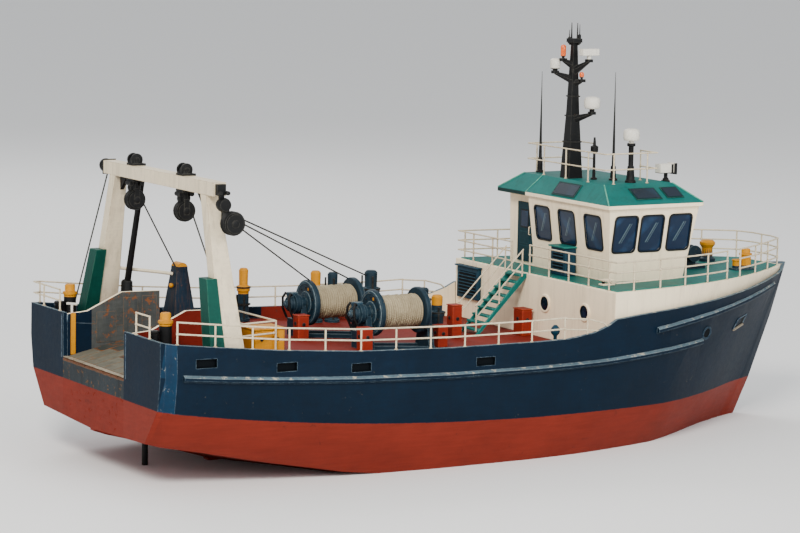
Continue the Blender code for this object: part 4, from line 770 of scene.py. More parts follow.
class Probe:
    """Finds points on the surface of a CAD node."""

    def __init__(self, node: str) -> None:
        """Builds the search tree of the node."""
        bm = bmesh.new()
        bm.from_mesh(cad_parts[node].data)
        self.tree = BVHTree.FromBMesh(bm)
        bm.free()

    def side(self, x: float, z: float, side: int) -> tuple[Vector, Vector]:
        """Returns the point and normal that a ray from abeam meets."""
        point, normal, _, _ = self.tree.ray_cast(Vector((x, side * 8.0, z)), PORTWARD * -side)
        return point, normal if normal.y * side > 0 else -normal

    def nearest(self, point: Point) -> Vector:
        """Returns the nearest point of the surface."""
        return self.tree.find_nearest(Vector(point))[0]

    def top(self, x: float, y: float) -> float:
        """Returns the height that a ray from above meets."""
        return self.tree.ray_cast(Vector((x, y, 20.0)), -UP)[0].z


@dataclass
class HullLooks:
    """Hull paint, bulwark frames, hawse holes, anchor pockets and the strips at the stern."""

    sill_half: float = 2.06
    ports: tuple[float, ...] = (-10.75, -8.30, -5.95, -1.85)
    port_drop: float = 0.46
    port_half: tuple[float, float] = (0.315, 0.15)
    port_inset: tuple[float, float] = (0.12, 0.004)
    lining: float = 0.06
    lining_aft: float = -11.93
    transom: tuple[float, float] = (-11.95, -11.5)
    rubbing_z: float = 2.4
    frames: tuple[float, float, float] = (-11.2, -4.2, 0.72)
    swoop_from: float = 0.95
    slot_aft: float = -11.1
    slot_fore: float = -8.6
    well_end: float = 2.9
    hawse: tuple[float, float, float] = (6.80, 3.28, 0.17)
    pocket: tuple[tuple[float, float], ...] = ((8.50, 3.16), (9.10, 3.26), (9.24, 3.56), (8.68, 3.49))
    rail_bars: tuple[tuple[tuple[float, float], ...], ...] = (
        ((0.90, 4.217), (1.72, 4.15), (2.27, 4.00), (2.42, 3.88)), ((0.90, 3.897), (1.60, 3.84), (2.10, 3.78)))
    rail_post_x: float = 1.68
    rail_inset: float = 0.06
    strip_z: tuple[float, float] = (2.93, 4.19)

    def choose(self, centre: Vector, normal: Vector) -> Finish:
        """Picks the finish of a face from where it is and how it faces."""
        x, y, z = centre
        breadth, rail = LINE.breadth(x), LINE.rail(x)
        inside = abs(y) < breadth - self.lining and x > self.lining_aft
        port_length, port_height = self.port_half
        at_port = any(abs(x - spot) < port_length for spot in self.ports) \
            and abs(z - rail + self.port_drop) < port_height
        # The faces inside each freeing port's opening get the near-black paint: painted shade.
        if at_port and max(4.0, breadth - self.port_inset[0]) < abs(y) < breadth - self.port_inset[1]:
            return OPENING_SHADE
        if inside and normal.z > 0.7 and z < rail - 0.12 and x < self.well_end:
            return DECK_RED
        if inside and y * normal.y < -0.3 and abs(y) > 2.3 and x < self.well_end:
            return NAVY if x < self.frames[1] else DECK_RED if x < self.swoop_from else CREAM
        if abs(abs(y) - self.sill_half) < 0.06 and y * normal.y < -1.0 and x < self.slot_fore:
            return HULL_NAVY if x < self.slot_aft else RUSTY_STEEL
        # Upward faces high on the hull take the lighter cap paint: partly wear, partly a painted highlight on the
        # tops.
        if normal.z > 0.3 and z > self.rubbing_z:
            return HULL_WORN_LIT_CAP
        if x < self.transom[0] and normal.x < -0.5:
            return HULL_STEEL if abs(y) < self.sill_half else HULL_NAVY
        # The stern's slanted corner faces take the lighter navy: a painted highlight.
        if x < self.transom[1] and normal.x < -0.4 and abs(normal.y) > 0.4:
            return HULL_HIGHLIGHT_EDGE
        return HULL_NAVY

    def build(self) -> None:
        """Paints the hull and adds its fittings."""
        dress("hull", (HULL_NAVY, DECK_RED, HULL_WORN_LIT_CAP, HULL_HIGHLIGHT_EDGE, HULL_STEEL, OPENING_SHADE, NAVY, CREAM, RUSTY_STEEL),
              bevel=0.012, smooth=24.0, choose=self.choose,
              cuts=[*(cut(PORTWARD, y) for y in (-self.sill_half, self.sill_half)),
                    *(cut(FORE, x) for x in (self.frames[1], self.swoop_from, self.slot_aft))])
        probe = Probe("hull")
        for side in Side:
            self.fittings(probe, side)
            self.bulwark_frames(side)
            self.stern_strips(side)
            self.rail_ends(side)

    def rail_ends(self, side: Side) -> None:
        """Leads the two bars of the main rail down into the bulwark's rise on one side."""
        shape = Shape()
        for bar in self.rail_bars:
            shape.tube([(x, side.value * (LINE.breadth(x) - self.rail_inset), z) for x, z in bar], 0.024)
        x = self.rail_post_x
        y = side.value * (LINE.breadth(x) - self.rail_inset)
        shape.rod((x, y, LINE.rail(x) + LINE.crown), (x, y, self.rail_bars[0][1][1]), 0.026, 10)
        shape.place(f"main_rail_end_{side.label}", RAIL_CREAM)

    def fittings(self, probe: Probe, side: Side) -> None:
        """Makes the hawse hole's ring and the anchor pocket on one side."""
        x, z, radius = self.hawse
        point, normal = probe.side(x, z, side.value)
        rim, lip = radius + 0.05, radius - 0.02
        Shape().turned(((-0.02, rim), (0.014, rim), (0.03, radius + 0.02), (0.014, lip), (-0.02, lip)),
                       point, normal, 28, closed=True).place(f"hawse_ring_{side.label}", NAVY)
        Shape().turned(((-0.02, radius - 0.015), (0.004, radius - 0.015), (0.006, radius * 0.5)),
                       point, normal, 28).place(f"hawse_shadow_{side.label}", OPENING_SHADE)
        corners = [probe.side(*spot, side.value) for spot in self.pocket]

        def lifted(lift: float, order: Sequence[int] = range(4)) -> list[Vector]:
            """Returns corners of the pocket, moved out of the plating."""
            return [corners[i][0] + corners[i][1] * lift for i in order]

        # The pocket is a thin near-black plate on the plating: painted shade where the recess would be.
        Shape().loft([lifted(-0.02), lifted(0.008)]).place(f"anchor_pocket_{side.label}", OPENING_SHADE, bevel=0.004)
        Shape().tube(lifted(0.03, (0, 1)), 0.04, 8).place(f"anchor_pocket_sill_{side.label}", PALE_STEEL)
        Shape().tube(lifted(0.012, (1, 2, 3, 0)), 0.018, 8).place(f"anchor_pocket_rim_{side.label}", HULL_HIGHLIGHT_EDGE)

    def bulwark_frames(self, side: Side) -> None:
        """Makes the upright plates inside one bulwark, from the stern to the winches."""
        x, end, pitch = self.frames
        shape = Shape()
        while x < end:
            y = side.value * (LINE.breadth(x) - 0.122)
            shape.box((x - 0.025, y, LINE.deck(x) + 0.004), (x + 0.025, y - side.value * 0.11, LINE.rail(x) - 0.03))
            x += pitch
        shape.place(f"bulwark_frames_{side.label}", NAVY, bevel=0.008)

    def stern_strips(self, side: Side) -> None:
        """Makes the worn corner strip beside the ramp's mouth on one side, in the lighter navy that paints a highlight
        on the corner.
        """
        inner, outer = side.value * (self.sill_half - 0.004), side.value * (self.sill_half + 0.13)
        edge = [(-11.86, inner), (-12.004, inner + side.value * 0.09), (-12.004, outer), (-11.86, outer)]
        Shape().loft([[(x, y, z) for x, y in edge] for z in self.strip_z]) \
            .place(f"ramp_corner_{side.label}", HULL_HIGHLIGHT_EDGE, bevel=0.006)


@dataclass
class RampLooks:
    """Ramp plates, the walls along the ramp, its sill and the guide bar on its port wall."""

    half: float = 2.045
    strips: int = 7
    seam: float = 0.024
    spans: tuple[float, ...] = (-11.84, -11.05, -10.22, -9.45, -8.93)
    stagger: float = 0.27
    last_seam: float = -9.1
    rust_from: float = -11.1
    sill: tuple[float, float, float] = (-12.0, -11.9, -11.85)
    doublings: tuple[tuple[float, float, float, float], ...] = (
        (-10.95, -10.32, 3.30, 4.20), (-10.10, -9.62, 3.50, 4.58), (-9.50, -9.02, 3.66, 4.60))

    def build(self) -> None:
        """Dresses the ramp and its walls and lays the plates."""
        dress("ramp_plating", (SEAM_STEEL,), bevel=0.0)
        probe = Probe("ramp_plating")
        self.plates(probe)
        aft, middle, fore = self.sill
        z = probe.top(middle, 0.0)
        Shape().box((aft, -self.half, z + 0.001), (fore, self.half, z + 0.03)) \
            .place("ramp_sill", PALE_STEEL, bevel=0.008)
        for side in Side:
            dress(f"ramp_wall_{side.label}", (NAVY, CREAM, DECK_RED, RUSTY_STEEL), cuts=[cut(FORE, self.rust_from)],
                  choose=lambda centre, normal, out=side.value: self.choose(centre, normal, out))
        self.wall_plates()
        self.guide_bar()

    def plates(self, probe: Probe) -> None:
        """Lays staggered plates in three finishes on the ramp, with seams between them."""
        width = 2 * self.half / self.strips
        shapes = [Shape(), Shape(), Shape()]
        for strip in range(self.strips):
            y_low = -self.half + width * strip + self.seam / 2
            y_high = y_low + width - self.seam
            moved = [x + self.stagger * (strip * 2 % 3) for x in self.spans[1:-1]]
            cuts = [self.spans[0], *(x for x in moved if x < self.last_seam), self.spans[-1]]
            for index, (x_low, x_high) in enumerate(zip(cuts, cuts[1:])):
                aft, fore = x_low + self.seam / 2, x_high - self.seam / 2
                outline = ((aft, y_low), (fore, y_low), (fore, y_high), (aft, y_high))
                shapes[(strip * 3 + index * 2) % 3].loft(
                    [[(x, y, probe.top(x, y) + lift) for x, y in outline] for lift in (0.0008, 0.014)])
        for index, (shape, finish) in enumerate(zip(shapes, (RAMP_STEEL, RUSTY_STEEL, RAMP_DARK))):
            shape.place(f"ramp_plates_{index}", finish, bevel=0.003)

    def choose(self, centre: Vector, normal: Vector, out: int) -> Finish:
        """Picks a wall face's finish: cream on top, red or navy outboard, and rusty steel or navy inboard."""
        if normal.z > 0.5:
            return CREAM
        if normal.y * out > 0.5:
            return DECK_RED if out < 0 else NAVY
        return RUSTY_STEEL if centre.x > self.rust_from and normal.y * out < -0.5 else NAVY

    def wall_plates(self) -> None:
        """Makes the flat doubling plates on the inboard face of each wall."""
        shape = Shape()
        for side in Side:
            y = side.value * (self.half + 0.014)
            for x_low, x_high, z_low, z_high in self.doublings:
                shape.box((x_low, y, z_low), (x_high, y - side.value * 0.012, z_high))
        shape.place("ramp_wall_plates", RUSTY_STEEL, bevel=0.004)

    def guide_bar(self) -> None:
        """Makes the yellow bar on the port wall, with its white T-shaped grip."""
        y = self.half + 0.013
        Shape().box((-11.77, y - 0.05, 3.00), (-11.62, y, 4.22)).place("guide_bar", YELLOW, bevel=0.012)
        Shape().rod((-11.70, y + 0.06, 4.15), (-11.70, y + 0.06, 4.47), 0.035) \
            .rod((-11.86, y + 0.06, 4.49), (-11.54, y + 0.06, 4.45), 0.035).place("guide_bar_grip", WHITE)


@dataclass
class HouseLooks:
    """Forecastle block, wheelhouse, roof, door, windows and skylights."""

    base_z: float = 4.8806
    eave_z: float = 7.12
    roof_top: float = 7.78
    sill: float = 5.77
    head: float = 6.90
    corner: float = 0.12
    frame_width: float = 0.055
    proud: float = 0.026
    glint_z: tuple[float, float] = (0.30, 0.89)
    door_bay: tuple[float, float] = (1.5, 3.6)
    windows: tuple[tuple[str, float, float], ...] = (
        ("aft", 0.75, 0.86), ("aft", -0.61, 0.90), ("aft", -2.05, 0.92),
        ("starboard", 4.15, 0.84), ("starboard", 5.105, 0.84), ("starboard", 6.13, 0.84),
        ("port", 4.28, 0.62), ("port", 5.105, 0.84), ("port", 6.13, 0.84),
        ("fore", -1.85, 0.90), ("fore", -0.62, 0.90), ("fore", 0.62, 0.90), ("fore", 1.85, 0.90))
    walls: tuple[tuple[str, float, float, Point], ...] = (
        ("aft", 3.78, 3.48, (-1, 0, 0)), ("fore", 6.50, 6.76, (1, 0, 0)),
        ("starboard", -2.62, -3.03, (0, -1, 0)), ("port", 2.95, 3.03, (0, 1, 0)))
    roof_edge: tuple[float, float, float] = (3.38, 6.86, 3.13)
    roof_flat: tuple[float, float, float] = (3.82, 6.30, 2.20)
    roof_lights: tuple[tuple[str, float, float, float, float], ...] = (
        ("aft", -0.55, 1.15, 0.17, 0.74), ("starboard", 5.00, 0.84, 0.27, 0.72), ("starboard", 5.98, 0.52, 0.30, 0.72))
    porthole_x: float = 2.75
    portholes: tuple[tuple[float, float], ...] = ((-0.76, 4.06), (-2.92, 4.06))

    def wall_point(self, wall: str, along: float, z: float, out: float = 0.0) -> Vector:
        """Returns a point on a leaning wall, moved out of it by a distance."""
        low, high, facing = next(row[1:] for row in self.walls if row[0] == wall)
        face = low + (high - low) * (z - self.base_z) / (self.eave_z - self.base_z)
        return Vector((face, along, z) if facing[0] else (along, face, z)) + Vector(facing) * out

    def rounded(self, wall: str, centre: float, half: float, end: float, radius: float, out: float) -> list[Vector]:
        """Makes a rounded rectangle on a wall, between the heights of the windows.

        Args:
            wall: Name of the wall.
            centre: Place of the middle along the wall.
            half: Half the width.
            end: Distance inside the windows' sill and head.
            radius: Radius of the corners.
            out: Distance out of the wall.

        Returns:
            The outline's points.
        """
        low, high, points = self.sill + end + radius, self.head - end - radius, []
        for side, pivot_z, start in ((1, high, 0), (-1, high, 90), (-1, low, 180), (1, low, 270)):
            for step in range(5):
                turn = math.radians(start + 22.5 * step)
                along = centre + side * (half - radius) + radius * math.cos(turn)
                points.append(self.wall_point(wall, along, pivot_z + radius * math.sin(turn), out))
        return points

    def window(self, index: int, wall: str, centre: float, width: float) -> None:
        """Makes one window: a cream surround, a raised frame with round corners, its glass and two glints."""
        inset = 0.015 if wall == "aft" else -0.02
        slim = self.frame_width

        def rings(*rows: tuple[float, float, float, float]) -> list[list[Vector]]:
            """Returns rings on the wall from rows of side gap, end gap, corner radius and distance out."""
            return [self.rounded(wall, centre, width / 2 - gap, end, radius, out) for gap, end, radius, out in rows]

        outer, inner = (-0.02, inset, self.corner + 0.03), (slim - 0.02, inset + slim, self.corner)
        hole, lip = (0.001, 0.001, 0.004), (0.02, 0.03, self.corner + 0.02)
        pane = (slim - 0.04, inset + slim - 0.02, self.corner)
        Shape().loft(rings((*outer, 0.001), (*outer, self.proud), (*inner, self.proud), (*inner, 0.001)),
                     closed=True).place(f"window_frame_{index}", RUBBER, bevel=0.005, smooth=40.0)
        Shape().loft(rings((*hole, 0.0), (*lip, 0.0), (*lip, -0.05), (*hole, -0.05)),
                     closed=True).place(f"window_surround_{index}", CREAM, smooth=40.0)
        Shape().loft(rings((*pane, -0.035), (*pane, -0.010))).place(f"window_pane_{index}", WINDOW, smooth=40.0)
        # Two pale diagonal strips just over the glass: a painted reflection.
        lean = -1 if wall in ("aft", "port") else 1
        shape = Shape()
        for shift, wide in ((0.0, 0.016), (0.07, 0.008)):
            foot, head = centre + lean * (shift - 0.17), centre + lean * (shift + 0.15)
            low, high = self.glint_z
            outline = ((foot - wide, low), (foot + wide, low), (head + wide, high), (head - wide, high))
            shape.loft([[self.wall_point(wall, along, self.sill + rise, out) for along, rise in outline]
                        for out in (-0.0095, -0.0065)])
        shape.place(f"window_glint_{index}", GLINT)

    def build(self) -> None:
        """Dresses the house and makes its windows, door and roof lights."""
        dress("forecastle", (CREAM,), bevel=0.02)
        dress("forecastle_deck", (ROOF_GREEN,), bevel=0.0)
        dress("wheelhouse_walls", (CREAM,), bevel=0.012)
        dress("wheelhouse_roof", (ROOF_GREEN, CREAM, DARK_GREEN), bevel=0.018, choose=self.roof_finish,
              cuts=[cut(PORTWARD, self.door_bay[0])])
        for index, (wall, centre, width) in enumerate(self.windows):
            self.window(index, wall, centre, width)
        self.door()
        self.roof_details()
        self.porthole_details()
        self.vents()
        self.deck_fittings()

    def roof_finish(self, centre: Vector, normal: Vector) -> Finish:
        """Picks green for the slopes, cream for the edge and the underside, dark green over the door."""
        if normal.z >= 0.3:
            return ROOF_GREEN
        return DARK_GREEN if centre.y > self.door_bay[0] and centre.x < self.door_bay[1] else CREAM

    def door(self) -> None:
        """Dresses the wheelhouse door and adds its window, lower panels and handle."""
        dress("wheelhouse_door", (DOOR_BLUE,), Body.DOOR, bevel=0.012)
        low, high = corners_of("wheelhouse_door")
        foot = Vector((low.x, (low.y + high.y) / 2, low.z))
        tall = high.z - low.z
        Shape().box(foot + Vector((-0.012, -0.24, 1.05)), foot + Vector((0.002, 0.24, tall - 0.22))) \
            .place("door_window_frame", RUBBER, Body.DOOR, bevel=0.008)
        Shape().box(foot + Vector((-0.016, -0.19, 1.10)), foot + Vector((-0.010, 0.19, tall - 0.27))) \
            .place("door_window_pane", WINDOW, Body.DOOR, bevel=0.002)
        panel = Shape()
        for start, end in ((0.12, 0.50), (0.56, 0.94)):
            panel.box(foot + Vector((-0.010, -0.28, start)), foot + Vector((0.002, 0.28, end)))
        panel.place("door_panels", DOOR_BLUE, Body.DOOR, bevel=0.006)
        grip = ((-0.005, 0.86), (-0.06, 0.88), (-0.06, 1.10), (-0.005, 1.12))
        Shape().tube([(low.x + x, low.y + 0.09, low.z + z) for x, z in grip], 0.012) \
            .place("door_handle", CREAM, Body.DOOR)

    def roof_details(self) -> None:
        """Sets three dark glass lights in the sloping sides of the roof, and strips on its hips."""
        eave = self.eave_z + 0.12
        (edge_aft, edge_fore, edge_y), (flat_aft, flat_fore, flat_y) = self.roof_edge, self.roof_flat
        slopes = {"aft": (Vector((edge_aft, 0, eave)), Vector((flat_aft, 0, self.roof_top)), PORTWARD),
                  "starboard": (Vector((0, -edge_y, eave)), Vector((0, -flat_y, self.roof_top)), FORE)}
        for index, (slope, along, width, low, high) in enumerate(self.roof_lights):
            start, end, run = slopes[slope]
            rise = end - start
            normal = run.cross(rise).normalized()
            normal = -normal if normal.z < 0 else normal
            for part, finish, grow, thick, bevel in (("frame", DARK_GREEN, 0.05, 0.030, 0.008),
                                                     ("pane", SKYLIGHT, 0.0, 0.038, 0.004)):
                slip = grow / rise.length
                corners = [start + rise * share + run * (along + side * (width / 2 + grow)) for share, side in (
                    (low - slip, -1), (low - slip, 1), (high + slip, 1), (high + slip, -1))]
                Shape().loft([[spot + normal * lift for spot in corners] for lift in (0.002, thick)]) \
                    .place(f"roof_light_{part}_{index}", finish, bevel=bevel)
        hips = Shape()
        for side in Side:
            for edge_x, flat_x in ((edge_aft, flat_aft), (edge_fore, flat_fore)):
                start = Vector((edge_x, side.value * edge_y, eave + 0.004))
                end = Vector((flat_x, side.value * flat_y, self.roof_top + 0.004))
                hips.rod(start.lerp(end, 0.02), start.lerp(end, 0.98), 0.022, 8)
        hips.rod((edge_aft + 0.01, 1.50, eave + 0.004), (flat_aft - 0.01, 1.18, self.roof_top + 0.004), 0.014, 8)
        hips.place("roof_hip_strips", RIDGE_GREEN)

    def porthole_details(self) -> None:
        """Sets round portholes with thick cream rings in the forecastle's aft wall."""
        parts = (("rim", CREAM, 36, ((0.001, 0.285), (0.03, 0.285), (0.05, 0.26), (0.05, 0.215), (0.001, 0.205))),
                 ("seal", RUBBER, 36, ((0.001, 0.207), (0.040, 0.212), (0.044, 0.19), (0.001, 0.18))),
                 ("glass", PORT_GLASS, 32, ((0.0015, 0.185), (0.014, 0.185), (0.022, 0.10))))
        for index, (y, z) in enumerate(self.portholes):
            for part, finish, sides, profile in parts:
                Shape().turned(profile, (self.porthole_x, y, z), -FORE, sides, closed=part != "glass") \
                    .place(f"porthole_{part}_{index}", finish)

    @staticmethod
    def vents() -> None:
        """Dresses the louvred boxes with a frame and slanting slats."""
        rim = 0.13
        for node, count in (("engine_room_vent", 7), ("deck_locker", 6)):
            dress(node, (LOUVRE,), bevel=0.012)
            low, high = corners_of(node)
            Shape().box((low.x - 0.006, low.y + rim, low.z + rim), (low.x + 0.002, high.y - rim, high.z - rim)) \
                .place(f"{node}_shadow", OPENING_SHADE)
            slats = Shape()
            pitch = (high.z - low.z - 2 * rim) / count
            for i in range(count):
                z = low.z + rim + pitch * (i + 0.5)
                slats.box((low.x - 0.028, low.y + rim, z - 0.014), (low.x + 0.03, high.y - rim, z + 0.014),
                          Matrix.Rotation(math.radians(40), 4, "Y"))
            slats.place(f"{node}_slats", LOUVRE, bevel=0.003)
        for node, finish in (("deck_locker", ROOF_GREEN), ("engine_room_vent", LOUVRE)):
            low, high = corners_of(node)
            Shape().box((low.x - 0.07, low.y - 0.05, high.z + 0.001), high + Vector((-0.002, 0.05, 0.05))) \
                .place(f"{node}_hood", finish, bevel=0.015)

    def deck_fittings(self) -> None:
        """Adds the mushroom vent and the roller chock on the two decks."""
        Shape().turned(((0.0, 0.10), (0.02, 0.10), (0.03, 0.055), (0.52, 0.055), (0.60, 0.13), (0.66, 0.14),
                        (0.76, 0.12), (0.84, 0.05)), (1.26, -3.60, LINE.deck(1.26) + 0.004), UP, 16) \
            .place("mushroom_vent", LOUVRE, smooth=50.0)
        base = Vector((3.36, -3.15, self.base_z + 0.001))
        plates, rollers = Shape(), Shape()
        for z_low, z_high in ((0.0, 0.05), (0.13, 0.18)):
            plates.box(base + Vector((-0.22, -0.12, z_low)), base + Vector((0.22, 0.12, z_high)))
        plates.place("roller_chock_plates", CREAM, bevel=0.012)
        for along in (-0.13, 0.13):
            rollers.rod(base + Vector((along, 0, 0.05)), base + Vector((along, 0, 0.13)), 0.05)
        rollers.place("roller_chock_rollers", BLACK)


@dataclass
class Railing:
    """Round railing along a path: posts on small feet, and bars at named heights."""

    node: str
    path: list[Point]
    heights: tuple[float, ...]
    spacing: float
    bar_radius: float = 0.024
    post_radius: float = 0.026

    @property
    def points(self) -> list[Vector]:
        """Returns the path's points."""
        return [Vector(point) for point in self.path]

    def spot(self, distance: float) -> Vector:
        """Returns the point at a distance along the path."""
        for start, end in zip(self.points, self.points[1:]):
            length = (end - start).length
            if distance <= length + 1e-6:
                return start.lerp(end, distance / length)
            distance -= length
        return self.points[-1]

    def build(self) -> None:
        """Makes the posts and bars as one piece."""
        total = sum((end - start).length for start, end in zip(self.points, self.points[1:]))
        gaps = max(1, round(total / self.spacing))
        shape = Shape()
        for i in range(gaps + 1):
            foot = self.spot(0.025 + (total - 0.05) * i / gaps)
            shape.rod(foot, foot + UP * (self.heights[-1] - self.bar_radius), self.post_radius, 10)
            shape.turned(((0.0, 0.052), (0.012, 0.052), (0.022, 0.032)), foot, UP, 10)
            for height in self.heights[:-1]:
                shape.turned(((0.0, 0.028), (0.01, 0.036), (0.06, 0.036), (0.07, 0.028)),
                             foot + UP * (height - self.bar_radius - 0.035), UP, 10)
        for height in self.heights:
            shape.tube([point + UP * (height - self.bar_radius) for point in self.points], self.bar_radius)
        shape.place(f"{self.node}_round", RAIL_CREAM, replaces=[self.node])


def railings() -> list[Railing]:
    """Returns the railings, on the paths of the part's source."""
    made = []
    stern_x, lift, main = -11.94, 0.0038, ((0.32, 0.64), 1.18)
    stern_z = LINE.rail(stern_x) + LINE.crown + lift
    for side, stern_ys in ((Side.PORT, (2.40, 4.30)), (Side.STARBOARD, ())):
        (x, y, z), *rest = LINE.side(-11.62, 0.90, side.value, 0.06)
        path = [*((stern_x, stern_y, stern_z) for stern_y in stern_ys), (x, y, z + lift), *rest]
        made.append(Railing(f"main_rail_{side.label}", path, *main))
    made.append(Railing("stern_rail_starboard", [(stern_x, y, stern_z) for y in (-2.70, -3.60)], *main))
    top, edge, aft, bow, fore_deck = 4.8503, 0.18, 2.81, 11.30, ((0.30, 0.60, 0.90), 1.12)
    bow_y = (LINE.breadth(bow) - edge) * 0.45
    port = [(aft, 1.27, top), *LINE.side(aft, bow, 1, edge, top), (bow + 0.16, bow_y, top),
            (bow + 0.16, -bow_y, top), *LINE.side(bow, 8.40, -1, edge, top)]
    made.append(Railing("forecastle_rail_port", port, *fore_deck))
    starboard = [(aft, 0.29, top), *LINE.side(aft, 7.70, -1, edge, top)]
    made.append(Railing("forecastle_rail_starboard", starboard, *fore_deck))
    z, x_low, x_high, half, inner = 7.7803, 3.88, 5.78, 2.14, 1.24
    loop = [(x_high, -inner, z), (x_high, -half, z), (x_low, -half, z), (x_low, half, z), (x_high, half, z),
            (x_high, inner, z)]
    made.append(Railing("roof_rail", loop, (0.46, 0.94), 1.25, 0.022, 0.024))
    return made


@dataclass
class GantryLooks:
    """Stern gantry, its stays and blocks, and the taut warps."""

    beam: tuple[float, float, float] = (-9.85, 8.08, 8.46)
    block_ys: tuple[float, float] = (1.85, -1.40)
    leg_y: float = 2.72
    shoe: tuple[float, float] = (-10.08, 5.9)
    stay_shoe_z: float = 4.52
    warp_width: float = 0.045
    warps: tuple[tuple[str, Point, str, Point], ...] = (
        ("trawl_block_port", (-9.56, 1.85, 7.40), "fairlead_tower", (-8.05, 2.75, 5.20)),
        ("trawl_block_centre", (-9.56, -1.40, 7.40), "hull", (-8.60, -2.35, 3.60)),
        ("trawl_block_outer", (-9.34, -3.96, 7.50), "cable_reel", (-0.95, 3.88, 4.55)),
        ("trawl_block_outer", (-9.34, -3.98, 7.36), "net_drum_inner", (-3.32, 0.86, 4.98)),
        ("trawl_block_outer", (-9.38, -4.00, 7.20), "net_drum_inner", (-4.75, 0.56, 5.00)),
        ("gantry", (-9.90, 3.64, 8.14), "hull", (-10.50, 4.62, 4.08)))

    def build(self) -> None:
        """Dresses the gantry and stretches the warps."""
        dress("gantry", (LEG_CREAM, SHOE_GREEN), bevel=0.022,
              choose=lambda at, _: SHOE_GREEN if at.x < self.shoe[0] and at.z < self.shoe[1] else LEG_CREAM)
        for side in Side:
            dress(f"gantry_stay_{side.label}", (BLACK, DARK_GREEN), bevel=0.006,
                  choose=by_height(self.stay_shoe_z, BLACK, DARK_GREEN))
        for label in ("port", "centre", "outer"):
            dress(f"trawl_block_{label}", (BLACK,), bevel=0.006)
        self.block_details()
        self.beam_details()
        for index, (start_node, start, end_node, end) in enumerate(self.warps):
            self.warp(index, Probe(start_node).nearest(start), Probe(end_node).nearest(end))

    def warp(self, index: int, start: Vector, end: Vector) -> None:
        """Stretches one wire warp between two fixed points."""
        path = [start.lerp(end, step / 16) for step in range(17)]
        made = Shape().tube(path, self.warp_width / 2).place(f"warp_{index}", WIRE)
        (end - start).length

    def block_details(self) -> None:
        """Adds hubs, cheeks, bolts and shackles to the blocks."""
        x, low, high = self.beam
        shape = Shape()
        for y in self.block_ys:
            for out in (-1, 1):
                face = Vector((x, y + out * 0.131, low - 0.62))
                shape.turned(((0.0, 0.24), (0.012, 0.25), (0.03, 0.24), (0.034, 0.10), (0.06, 0.09), (0.075, 0.05)),
                             face, PORTWARD * out, 20)
                cheek = Vector((x, y + out * 0.155, low - 0.62))
                shape.box(cheek + Vector((-0.075, -0.014, -0.10)), cheek + Vector((0.075, 0.014, 0.34)))
                for along in (-0.13, 0.13):
                    shape.turned(((0.0, 0.035), (0.03, 0.035), (0.035, 0.02)), (x + along, y + out * 0.20, low - 0.05),
                                 PORTWARD * out, 6)
            shape.turned(((0.0, 0.16), (0.05, 0.20), (0.12, 0.20), (0.17, 0.16)), (x - 0.02, y - 0.085, low - 0.26),
                         PORTWARD, 16)
            for reach in (-0.17, 0.17):
                shape.turned(((0.0, 0.07), (0.32, 0.07)), (x + reach, y - 0.16, low - 0.14), PORTWARD, 12)
            for out in (-1, 1):
                shape.turned(((0.0, 0.19), (0.05, 0.19), (0.06, 0.08), (0.10, 0.07)),
                             (x, y + out * 0.09, high + 0.16), PORTWARD * out, 18)
        for y, out in ((-3.81, 1), (-4.131, -1)):
            shape.turned(((0.0, 0.27), (0.012, 0.275), (0.03, 0.27), (0.034, 0.11), (0.06, 0.10), (0.075, 0.05)),
                         (-9.64, y, 7.36), PORTWARD * out, 20)
        for reach in (-0.12, 0.12):
            shape.turned(((0.0, 0.06), (0.17, 0.06), (0.19, 0.035)), (-9.83 + reach, -3.68, 8.18), -PORTWARD, 10)
        shape.place("block_fittings", BLACK, bevel=0.004)

    def beam_details(self) -> None:
        """Adds the dark cap and pulley at the beam's port end, knee plates, and the bar to the tower."""
        x, low, high = self.beam
        Shape().box((x - 0.21, 3.582, low - 0.03), (x + 0.21, 3.64, high + 0.03)) \
            .turned(((0.0, 0.17), (0.05, 0.20), (0.14, 0.20), (0.18, 0.15)), (x - 0.05, 3.64, low + 0.22),
                    PORTWARD, 18).place("beam_port_cap", BLACK, bevel=0.01)
        knees = Shape()
        for side in Side:
            inner = side.value * self.leg_y
            outline = [(inner, low - 0.002), (inner - side.value * 0.42, low - 0.002), (inner, low - 0.42)]
            knees.loft([[(x + reach, y, z) for y, z in outline] for reach in (-0.06, 0.06)])
        knees.place("beam_knees", BLACK, bevel=0.006)
        Shape().tube(((-9.98, 3.88, 5.26), (-9.70, 3.80, 5.25), (-8.42, 3.02, 5.12), (-8.06, 2.98, 5.06)), 0.05, 12) \
            .turned(((0.0, 0.10), (0.05, 0.10), (0.10, 0.06)), (-9.90, 3.86, 5.26), (0.90, -0.46, -0.04), 12) \
            .place("tower_brace", RAIL_CREAM)


